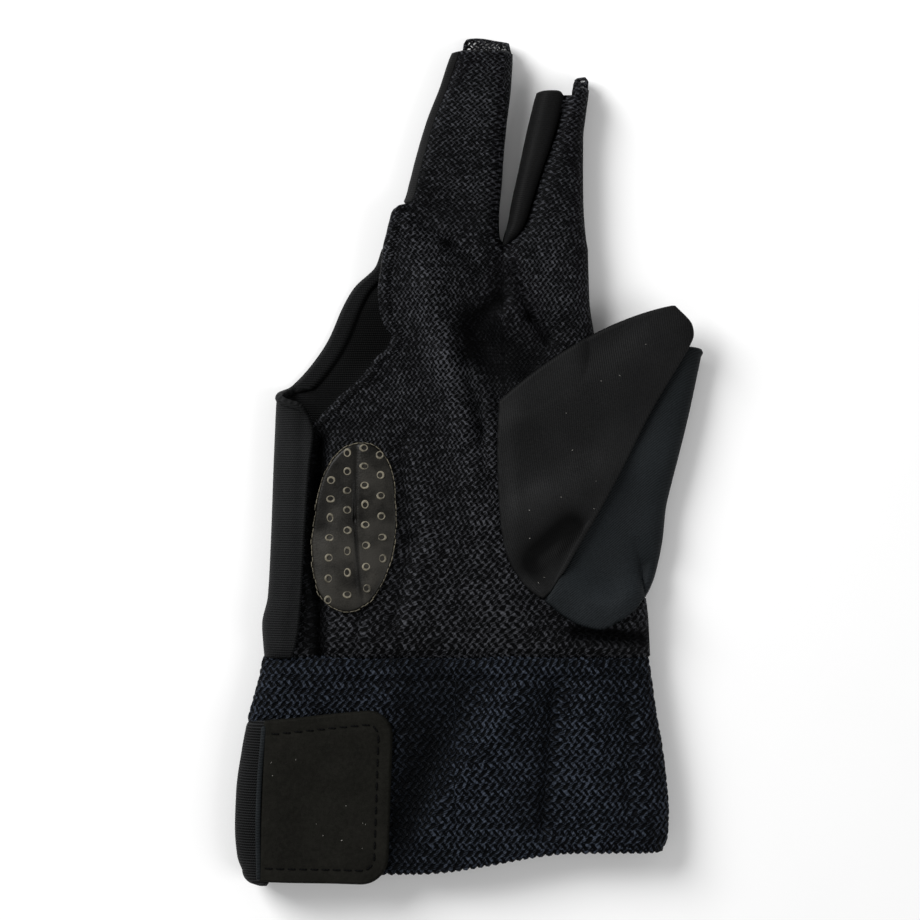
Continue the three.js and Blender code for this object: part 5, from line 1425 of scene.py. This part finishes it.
def finish_of(name):
    """Each material, made once when the first piece asks for it."""
    scene = bpy.context.scene
    colours, sizes = scene.glove_colours, scene.glove_sizes
    makers = {
        "mesh": lambda: mesh_material(colours, sizes),
        "cuff": lambda: cuff_material(colours, sizes),
        "lycra": lambda: lycra_material("lycra", colours.lycra, sizes.rib / MM, 0.7),
        "band": lambda: lycra_material("lycra_band", colours.lycra, 1.13 * sizes.rib / MM, 2.2),
        "smooth": lambda: lycra_material("lycra_smooth", colours.smooth, 0.9 * sizes.rib / MM, 0.35),
        # A paler, bluer copy of the stretch cloth as a painted blue sheen
        "lycra_and_blue_sheen": lambda: lycra_material("lycra_painted_blue_sheen", colours.lycra_and_blue_sheen, 0.9 * sizes.rib / MM, 0.4),
        "tab": lambda: tab_material(colours),
        "pad": lambda: pad_material(colours),
        "thread": lambda: twisted_material("thread", colours.thread, 0.7),
        "edge": lambda: plain_material("pad_edge", colours.ring, 0.6, 1600, 0.05, 0.9, Specular_IOR_Level=0.2),
        "ring": lambda: plain_material("pad_ring", colours.ring, 0.5, 1500, 0.1, 1.1, Specular_IOR_Level=0.3),
        "lint": lambda: plain_material("lint", (0.25, 0.24, 0.22), 0.9, 2500, 0.4, 1.3),
        "floor": lambda: plain_material("floor", colours.floor, 0.85, 40, 0.99, 1.0),
    }
    if name not in MATERIALS:
        MATERIALS[name] = makers[name]()
    return MATERIALS[name]


def stretch(piece, amount):
    """Writes how far the knit's holes are open at each point of a piece."""
    points = np.zeros(len(piece.data.vertices) * 3, np.float32)
    piece.data.vertices.foreach_get("co", points)
    local = points.reshape(-1, 3) / MM - ORIGIN
    layer = piece.data.attributes.new("stretched", "FLOAT", "POINT")
    layer.data.foreach_set("value", amount(local[:, 0], local[:, 1]).astype(np.float32))


# Operators

# The row of the hand's cloths beside the wrist seam, and the row where the hand's back meets the sleeves'
FIRST_ROW = SEAM_GAP / 2 / HAND_LENGTH
BACK_END = 1.06


class GLOVE_OT_palm(bpy.types.Operator):
    """Palm cloth with the fronts of the index and middle sleeve, cut out for the thumb"""

    bl_idname = "glove.palm"
    bl_label = "Palm cloth"

    def execute(self, context):
        hole = self.hole()

        def inside(x, y):
            """Whether a place is in the hole: a line from it to the right crosses the outline an odd time."""
            total = np.zeros(x.shape, int)
            for (ax, ay), (bx, by) in zip(hole, np.roll(hole, -1, 0)):
                between = (ay > y) != (by > y)
                total += between & (x < ax + (y - ay) * (bx - ax) / (by - ay if by != ay else 1))
            return total % 2 == 1

        def to_edge(places):
            """The place on the hole's outline nearest to each place."""
            best, found = np.full(len(places), np.inf), places.copy()
            for a, b in zip(hole, np.roll(hole, -1, 0)):
                t = np.clip(((places - a) @ (b - a)) / max((b - a) @ (b - a), 1e-9), 0, 1)
                near = a + t[:, None] * (b - a)
                far = np.linalg.norm(places - near, axis=1)
                found[far < best] = near[far < best]
                best = np.minimum(best, far)
            return found

        def wall(u, v):
            """The knit's wall, thicker along the opening's hem."""
            beside_opening = ease(0.55, 0.57, v) * (1 - ease(1.2, 1.24, v))
            return KNIT_WALL + PALM_HEM * (1 - ease(0.1, 0.17, u)) * beside_opening

        hand_rows = spaced((FIRST_ROW, 150), (1, 0))
        strips = [Strip(place, columns, np.r_[hand_rows, spaced((1, rows), (2, 0))[1:]], thick, mesh_flat)
                  for place, columns, rows, thick in ((index_front, shares(5, 56, 10), 72, wall),
                                                      (middle_front, shares(11, 44, 10), 58, KNIT_WALL))]
        for strip in strips:
            strip.cut(inside, to_edge)
        piece = add_cloth("palm_cloth", strips, finish_of("mesh"), "mesh_knit", "palm_knit",
                          painted_shading_of(HAND_FOLDS, FINE_FOLDS, HAND_PAINTED_SHADING, strength=0.33))
        stretch(piece, lambda x, y: 0 * x)
        return {"FINISHED"}

    def hole(self):
        """The thumb hole's outline: inside the thumb's seam by as much as the palm cloth runs on under it."""
        seams = [np.concatenate([FOOT_SEAM[name], WEB_SEAM[name][1:]]) for name in ("across", "along", "lap")]
        seam = hand_point(seams[0], seams[1])
        middle = hand_point(*HOLE_MIDDLE)
        inner = seam + unit(middle - seam) * (seams[2] * UNDERLAP)[:, None]
        start = [HAND_WIDTH, inner[0, 1]]
        end = [HAND_WIDTH, inner[-1, 1] + 0.05 * HAND_LENGTH]
        return np.array([start, *inner, end])


class GLOVE_OT_back(bpy.types.Operator):
    """Back cloth, which comes round the outer side as a strip on the palm"""

    bl_idname = "glove.back"
    bl_label = "Back cloth"

    def execute(self, context):
        rows = spaced((FIRST_ROW, 60), (0.56, 40), (0.68, 40), (1, 5), (BACK_END, 0))

        def wall(u, v):
            return LYCRA_WALL + hem_extra(u, v)

        outer = Strip(back_outer, spaced((0, 24), (0.2, 40), (0.5, 30), (0.9, 12), (1, 0)), rows, wall)
        inner = Strip(back_inner, shares(8, 26, 10), rows, LYCRA_WALL)
        for strip in (outer, inner):
            strip.flat[..., 1] = strip.points[..., 1]
        add_cloth("back_cloth", [outer, inner], finish_of("lycra"), "lycra", "back_panel",
                  painted_shading_of(BACK_PAINTED_SHADING, strength=0.33))
        return {"FINISHED"}


class GLOVE_OT_finger_backs(bpy.types.Operator):
    """Far layers of the two finger sleeves, see-through where they stand past the near ones"""

    bl_idname = "glove.finger_backs"
    bl_label = "Finger backs"

    def execute(self, context):
        for name, place, length, overhang, steps, bare in (
            ("index_back", index_back, INDEX_LENGTH, INDEX_OVERHANG, 80, self.index_bare),
            ("middle_back", middle_back, MIDDLE_LENGTH, MIDDLE_OVERHANG, 70, self.middle_bare),
        ):
            rows = spaced((BACK_END + SEAM_GAP / length, steps), (2 + overhang / length, 0))
            strip = Strip(place, shares(5, 24, 9), rows, KNIT_WALL * 0.6, mesh_flat)
            stretch(add_cloth(name + "_cloth", [strip], finish_of("mesh"), "mesh_knit", name), bare)
        return {"FINISHED"}

    def index_bare(self, x, y):
        """The index sleeve's back past its front, but for a rim along its edge."""
        tip = HAND_LENGTH + INDEX_LENGTH + index_reach(x)
        sides = ease(2.9, 3.5, x + 0.2 * (159 - y)) * (1 - ease(13.4, 13.9, x))
        return ease(157.2, 157.8, y) * (1 - ease(-0.7, -0.4, y - tip)) * sides

    def middle_bare(self, x, y):
        """The small corner of the middle sleeve's back past its front."""
        sides = ease(32.5, 32.8, x) * (1 - ease(34.1, 34.4, x))
        return ease(147.2, 147.6, y) * (1 - ease(150.3, 150.6, y)) * sides


class GLOVE_OT_finger_sides(bpy.types.Operator):
    """Smooth side walls of the two finger sleeves"""

    bl_idname = "glove.finger_sides"
    bl_label = "Finger sides"

    def execute(self, context):
        finish = finish_of("smooth")
        strip = Strip(index_side, spaced((0, 14), (1, 0)),
                      spaced((1 + INDEX_WALL_START, 60), (2, 0)), LYCRA_WALL)
        # Painted shade: the index side wall is painted darker towards its tip, and the middle roll darker all
        # over
        add_cloth("index_side_wall", [strip], finish, "lycra", "index_gusset",
                  lambda x, y: 1 - 0.75 * ease(128, 150, y))
        strip = Strip(middle_side, spaced((0, 16), (MIDDLE_ROLL, 18), (1, 0)),
                      spaced((1 + ROLL_START, 70), (2, 0)), LYCRA_WALL)
        add_cloth("middle_side_wall", [strip], finish, "lycra", "middle_gusset", 0.7)
        return {"FINISHED"}


class GLOVE_OT_thumb(bpy.types.Operator):
    """Both layers of the thumb sleeve: the flap over the palm and the layer that wraps under it"""

    bl_idname = "glove.thumb"
    bl_label = "Thumb"

    def execute(self, context):

        def flap_flat(points, u, v):
            """The flap's ribs follow its seam: the second direction is the distance from the seam."""
            x, y = points[..., 0], points[..., 1]
            seam = seam_across(np.interp(y / HAND_LENGTH, WEB_SEAM["along"], WEB_SEAM["up"])) * HAND_WIDTH
            return np.stack([y, 0.95 * x - 0.8 * seam + 0.12 * y], -1)

        def wrap_flat(points, u, v):
            """The far layer's ribs rise to the right."""
            x, y = points[..., 0], points[..., 1]
            return np.stack([0.77 * x + 0.64 * y, 0.77 * y - 0.64 * x - 0.5 * points[..., 2]], -1)

        front = Strip(thumb_front, spaced((0, 70), (0.88, 16), (1, 0)),
                      spaced((0.03, 90), (0.84, 24), (1, 0)), LYCRA_WALL, flap_flat)
        add_cloth("thumb_flap", [front], finish_of("smooth"), "lycra", "thumb_front",
                  painted_shading_of(FLAP_FOLDS, FLAP_PAINTED_SHADING, strength=0.36))
        columns = spaced((0, 44), (THUMB_PARTS[0], 24), (THUMB_PARTS[1], 16), (1, 0))
        back = Strip(thumb_back, columns, spaced((0, 110), (1, 0)), LYCRA_WALL, wrap_flat)
        add_cloth("thumb_wrap", [back], finish_of("lycra_and_blue_sheen"), "lycra", "thumb_back",
                  painted_shading_of(WRAP_FOLDS, WRAP_PAINTED_SHADING, strength=0.36))
        return {"FINISHED"}


class GLOVE_OT_cuff(bpy.types.Operator):
    """Both layers of the knit cuff, with their raised stitches and scalloped lower edge"""

    bl_idname = "glove.cuff"
    bl_label = "Cuff"

    def execute(self, context):
        sizes = context.scene.glove_sizes
        wale, course, depth = sizes.cuff_wale / MM, sizes.cuff_course / MM, sizes.cuff_relief / MM
        for layer, sign, name, node in ((0, 1, "cuff_front_knit", "cuff_front"),
                                        (1, -1, "cuff_back_knit", "cuff_back")):

            def flat(points, u, v):
                sunk = np.abs(points[..., 2] - (CUFF_TOP if sign > 0 else KNIT_WALL / 2))
                outward = np.sign(points[..., 0])
                return uneven(np.stack([points[..., 0] + outward * 0.5 * sunk, points[..., 1]], -1))

            def relief(places, u, v):
                """The knit's stitches stand up: cosines across and along, with each row set off by half."""
                across, along = places[..., 0], places[..., 1]
                row = np.cos(np.pi * along / course)
                shifted = across / wale + KNIT_LEAN * np.sin(np.pi * along / course)
                stitch = np.cos(TURN * shifted) * row + TALLER * row
                return sign * depth * (0.3 + np.clip(stitch, -1, 0.35))

            strip = Strip(cuff_sheet(layer), shares(24, 200, 24), spaced((0, 128), (1, 0)), KNIT_WALL * 0.8,
                          flat, relief)
            scallop = 0.3 * np.cos(TURN * strip.flat[0, :, 0] / wale)
            strip.points[:3, :, 1] += np.array([[1.0], [0.7], [0.35]]) * scallop
            add_cloth(name, [strip], finish_of("cuff"), "cuff_knit", node,
                      painted_shading_of(CUFF_FOLDS, CUFF_PAINTED_SHADING, strength=0.33))
        return {"FINISHED"}


class GLOVE_OT_closure(bpy.types.Operator):
    """Elastic strap and the tab that closes it, with the tab's stitches"""

    bl_idname = "glove.closure"
    bl_label = "Closure"

    def execute(self, context):
        def flat(points, u, v):
            return np.stack([np.interp(u, (0, *STRAP_PARTS, 1), (0, 6, 30, 36)), points[..., 1]], -1)

        columns = spaced((0, 12), (STRAP_PARTS[0], 40), (STRAP_PARTS[1], 12), (1, 0))
        strap = Strip(strap_band, columns, spaced((0, 110), (1, 0)), STRAP_WALL, flat)
        add_cloth("closure_band", [strap], finish_of("band"), "lycra", "closure_strap", 0.95)

        corner = TAB_CORNER / TAB_LENGTH
        ends = corner * (1 - np.cos(np.linspace(0, np.pi / 2, 15)))
        rows = np.concatenate([ends, spaced((corner, 60), (1 - corner, 0))[1:-1], 1 - ends[::-1]])
        tab = Strip(tab_surface, spaced((0, 6), (0.05, 60), (0.95, 6), (1, 0)), rows, TAB_WALL)
        add_cloth("tab", [tab], finish_of("tab"), "tab_felt", "strap_tab", tab_tone)

        sizes = context.scene.glove_sizes
        angle = np.linspace(0, np.pi / 2, 9)
        radius = TAB_CORNER - TAB_STITCH_INSET
        wide, high = TAB_WIDTH / 2 - TAB_CORNER, TAB_LENGTH / 2 - TAB_CORNER
        turn_x, turn_y = radius * np.cos(angle), radius * np.sin(angle)
        left = TAB_START + 0.5
        across = np.r_[left, wide + turn_x[::-1], wide + turn_x, left]
        along = np.r_[-high - radius, -high - turn_y[::-1], high + turn_y, high + radius]
        line = np.stack([across, along, np.zeros(len(across))], 1)
        places, ways = walk(line, sizes.stitch / MM)
        seats = tab_place(places[:, 0], places[:, 1])
        seats[:, 2] += TAB_WALL / 2
        turn = turned(ways[:, 0], ways[:, 1], TAB_TILT, (0, 0))
        ways = np.concatenate([turn, np.zeros((len(turn), 1))], 1)
        paths = stitch_paths(seats, ways, 0.74 * sizes.stitch / MM, 0.16)
        new_piece("tab_stitches", *tubes(paths, sizes.thread / MM / 2, 6), finish_of("thread"), "tab_felt")

        v = np.linspace(0.003, 0.975, 60)
        edge = tab_place(TAB_START - 0.5 - 0.8 * np.sin(np.pi * v), (v - 0.5) * TAB_LENGTH)
        edge[:, 2] += TAB_WALL / 2 - 0.5
        # The band's folded edge takes the paler, bluer stretch cloth: a painted sheen
        new_piece("closure_band_edge", *tubes(edge[None], 0.65, 12, (1.0, 0, 0)), finish_of("lycra_and_blue_sheen"), "lycra")
        return {"FINISHED"}


class GLOVE_OT_pad(bpy.types.Operator):
    """Leatherette pad with its raised rings and its pale cut edge"""

    bl_idname = "glove.pad"
    bl_label = "Palm pad"

    def execute(self, context):
        sizes = context.scene.glove_sizes
        u, v = grid(spaced((0, 34), (1, 0)), np.arange(140) / 140)
        middle = pad_surface(u, v)
        crown = 0.5 * PAD_WALL * rise((1 - u) * PAD_WIDTH / 2 / 0.8)
        top, low = middle.copy(), middle.copy()
        top[..., 2] += crown
        low[..., 2] -= crown
        points = np.concatenate([top[:, 1:].reshape(-1, 3), low[:, 1:-1].reshape(-1, 3), top[:1, 0], low[:1, 0]])
        rows, columns = u.shape[0], u.shape[1] - 1
        at = np.arange(rows * columns).reshape(rows, columns)
        under = np.arange(rows * (columns - 1)).reshape(rows, columns - 1) + at.size
        under = np.concatenate([under, at[:, -1:]], 1)
        poles = at.size + rows * (columns - 1) + np.arange(2)
        turn = np.roll(at, -1, 0)
        below = np.roll(under, -1, 0)
        faces = np.concatenate([
            np.stack([at[:, :-1], at[:, 1:], turn[:, 1:], turn[:, :-1]], -1).reshape(-1, 4),
            np.stack([below[:, :-1], below[:, 1:], under[:, 1:], under[:, :-1]], -1).reshape(-1, 4),
            fan(at[:, 0], turn[:, 0], poles[0]),
            fan(below[:, 0], under[:, 0], poles[1]),
        ])
        pad = new_piece("leather_pad", points, faces, points[:, :2], finish_of("pad"), "pad_leather",
                        ("palm_pad",), painted_shading_of(PAD_PAINTED_SHADING, strength=0.36))

        rings = np.array([(x + lean * n, top - step * n - growth * n * n)
                          for x, lean, top, step, growth, count in zip(*PAD_COLUMNS.values())
                          for n in range(int(count))])
        seats = pad_place(rings)
        around, about = 16, 8
        angle = np.linspace(0, TURN, around + 1)[:-1, None]
        tube = np.linspace(0, TURN, about + 1)[:-1]
        draw = np.random.default_rng(21)
        squeeze, gap = draw.normal(1, 0.07, (len(rings), 1, 1)), draw.uniform(0, TURN, (len(rings), 1, 1))
        thick = 0.23 + 0.09 * np.cos(angle - gap)
        radius = sizes.ring / MM / 2 - 0.26
        away = radius + thick * np.cos(tube)
        height = thick * np.sin(tube) + PAD_WALL / 2 - 0.03
        points = seats[:, None, None] + np.stack(
            [away * np.cos(angle) * squeeze, away * np.sin(angle) / squeeze, height], -1)
        points = points.reshape(-1, 3)
        one = np.arange(around * about).reshape(around, about)
        nxt = np.roll(one, -1, 0)
        one_faces = np.stack([one, nxt, np.roll(nxt, -1, 1), np.roll(one, -1, 1)], -1).reshape(-1, 4)
        new_piece("pad_rings", points, repeated(one_faces, len(rings), one.size), points[:, :2],
                  finish_of("ring"), "pad_leather")

        line = pad_place(pad_outline(np.linspace(0, TURN, 181)))
        line[:, 2] -= 0.1
        places, ways = walk(line, 1.5)
        shift = np.stack([draw.normal(0, 0.12, len(places)), draw.normal(0, 0.12, len(places)),
                          np.zeros(len(places))], 1)
        paths = stitch_paths(places + shift, ways, 1.45, 0.3, 0.1)
        new_piece("pad_edge_thread", *tubes(paths, 0.13), finish_of("edge"), "pad_leather")
        return {"FINISHED"}


class GLOVE_OT_stitches(bpy.types.Operator):
    """Overlock stitches along the near and far hems of the opening"""

    bl_idname = "glove.stitches"
    bl_label = "Hem stitches"

    def execute(self, context):
        for name, slot, cloth_place, v, columns, lift, pitch in (
            ("near_hem_stitches", "mesh_knit", index_front, np.linspace(0.56, 1.21, 260),
             (0.25 * END_SHARE, 0.95 * END_SHARE), KNIT_WALL / 2 + 0.12, 0.8),
            ("far_hem_stitches", "lycra", back_outer, np.linspace(0.67, 1.0, 200),
             (0.01, 0.075), LYCRA_WALL / 2 + 0.3, 0.75),
        ):
            outer, inner = (cloth_place(np.full_like(v, u), v) + UP * lift for u in columns)
            paths = self.between(outer, inner, pitch)
            new_piece(name, *tubes(paths, 0.12), finish_of("thread"), slot)
        return {"FINISHED"}

    def between(self, outer, inner, pitch):
        """Slanting stitches from one line to the other, a pitch apart."""
        run = run_of(outer)
        at = np.arange(0, run[-1] - pitch, pitch)
        a, b = picked(at, run, outer), picked(at + 0.6 * pitch, run, inner)
        t = np.linspace(0, 1, 7)
        return mix(a[:, None], b[:, None], t[:, None]) + stitch_arc(2 * t - 1, 0.12, 0.2)


class GLOVE_OT_lint(bpy.types.Operator):
    """A few pale flecks of lint on the thumb and the tab"""

    bl_idname = "glove.lint"
    bl_label = "Lint"

    def execute(self, context):
        draw = np.random.default_rng(5)
        spots = thumb_front(draw.uniform(0.15, 0.9, 12), draw.uniform(0.1, 0.95, 12))
        spots[:, 2] += LYCRA_WALL / 2
        tab = tab_place(draw.uniform(-0.42, 0.42, 10) * TAB_WIDTH, draw.uniform(-0.42, 0.42, 10) * TAB_LENGTH)
        tab[:, 2] += TAB_WALL / 2
        places = np.concatenate([spots, tab])
        turn = draw.uniform(0, TURN, len(places))
        ways = np.stack([np.cos(turn), np.sin(turn), 0 * turn], 1)
        t = np.linspace(-0.5, 0.5, 5)
        length = draw.uniform(0.15, 0.55, (len(places), 1, 1))
        paths = places[:, None] + ways[:, None] * t[:, None] * length + np.array([0, 0, 0.05])
        size = 0.09 * (1 - (2 * t) ** 2 * 0.7) * draw.uniform(0.5, 1.2, (len(places), 1))
        new_piece("lint_flecks", *tubes(paths, size), finish_of("lint"), "lycra")
        return {"FINISHED"}


# In metres: the floor, and the width, middle and level of what the camera sees
FLOOR_REACH = 3.0
FLOOR_LEVEL = -0.0003
VIEW_WIDTH = 0.2392
VIEW_MIDDLE = (-0.00244, 0.00035)
VIEW_LEVEL = 0.008


class GLOVE_OT_stage(bpy.types.Operator):
    """Pale floor, soft lights and a camera that looks straight down"""

    bl_idname = "glove.stage"
    bl_label = "Stage"

    def execute(self, context):
        scene = context.scene
        mesh = bpy.data.meshes.new("floor")
        corners = [(x * FLOOR_REACH, y * FLOOR_REACH, FLOOR_LEVEL)
                   for x, y in ((-1, -1), (1, -1), (1, 1), (-1, 1))]
        mesh.from_pydata(corners, [], [(0, 1, 2, 3)])
        mesh.materials.append(finish_of("floor"))
        floor = bpy.data.objects.new("floor", mesh)
        scene.collection.objects.link(floor)
        floor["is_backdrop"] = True

        world = bpy.data.worlds.new("studio")
        world.use_nodes = True
        world.node_tree.nodes["Background"].inputs["Color"].default_value = (1, 1, 1, 1)
        world.node_tree.nodes["Background"].inputs["Strength"].default_value = 0.38
        scene.world = world
        scene.view_settings.view_transform = "Standard"
        for name, place, size, watts in (
            ("key", (-0.6, 0.45, 0.55), 0.5, 10.5),
            ("fill", (0.7, -0.3, 0.7), 0.6, 3.0),
        ):
            light = bpy.data.lights.new(name, "AREA")
            light.size = size
            light.energy = watts
            lamp = bpy.data.objects.new(name, light)
            lamp.location = place
            lamp.rotation_euler = (-lamp.location).to_track_quat("-Z", "Y").to_euler()
            scene.collection.objects.link(lamp)

        camera = bpy.data.objects.new("camera", bpy.data.cameras.new("camera"))
        camera.data.lens = 100
        camera.data.clip_start = 0.01
        distance = VIEW_WIDTH * camera.data.lens / camera.data.sensor_width
        camera.location = (*VIEW_MIDDLE, VIEW_LEVEL + distance)
        scene.collection.objects.link(camera)
        scene.camera = camera
        return {"FINISHED"}


class GLOVE_PT_panel(bpy.types.Panel):
    """Lists the glove's sizes, colours and building steps"""

    bl_idname = "GLOVE_PT_panel"
    bl_label = "Billiard glove"
    bl_space_type = "VIEW_3D"
    bl_region_type = "UI"
    bl_category = "Glove"

    def draw(self, context):
        column = self.layout.column()
        for group in (context.scene.glove_sizes, context.scene.glove_colours):
            for name in group.__annotations__:
                column.prop(group, name)
        for step in STEPS:
            column.operator(step.bl_idname)


STEPS = (
    GLOVE_OT_stage, GLOVE_OT_palm, GLOVE_OT_back, GLOVE_OT_finger_backs, GLOVE_OT_finger_sides,
    GLOVE_OT_thumb, GLOVE_OT_cuff, GLOVE_OT_closure, GLOVE_OT_pad, GLOVE_OT_stitches, GLOVE_OT_lint,
)
CLASSES = (GloveSizes, GloveColours, *STEPS, GLOVE_PT_panel)


def register():
    for made in CLASSES:
        bpy.utils.register_class(made)
    bpy.types.Scene.glove_sizes = bpy.props.PointerProperty(type=GloveSizes)
    bpy.types.Scene.glove_colours = bpy.props.PointerProperty(type=GloveColours)


def unregister():
    del bpy.types.Scene.glove_sizes
    del bpy.types.Scene.glove_colours
    for made in reversed(CLASSES):
        bpy.utils.unregister_class(made)


def main():
    register()
    for step in STEPS:
        family, name = step.bl_idname.split(".")
        getattr(getattr(bpy.ops, family), name)()
    boxes = {"cad": CAD_BOX, "visual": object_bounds()}
    {name: [list(corner) for corner in box] for name, box in boxes.items()}


if __name__ == "__main__":
    main()
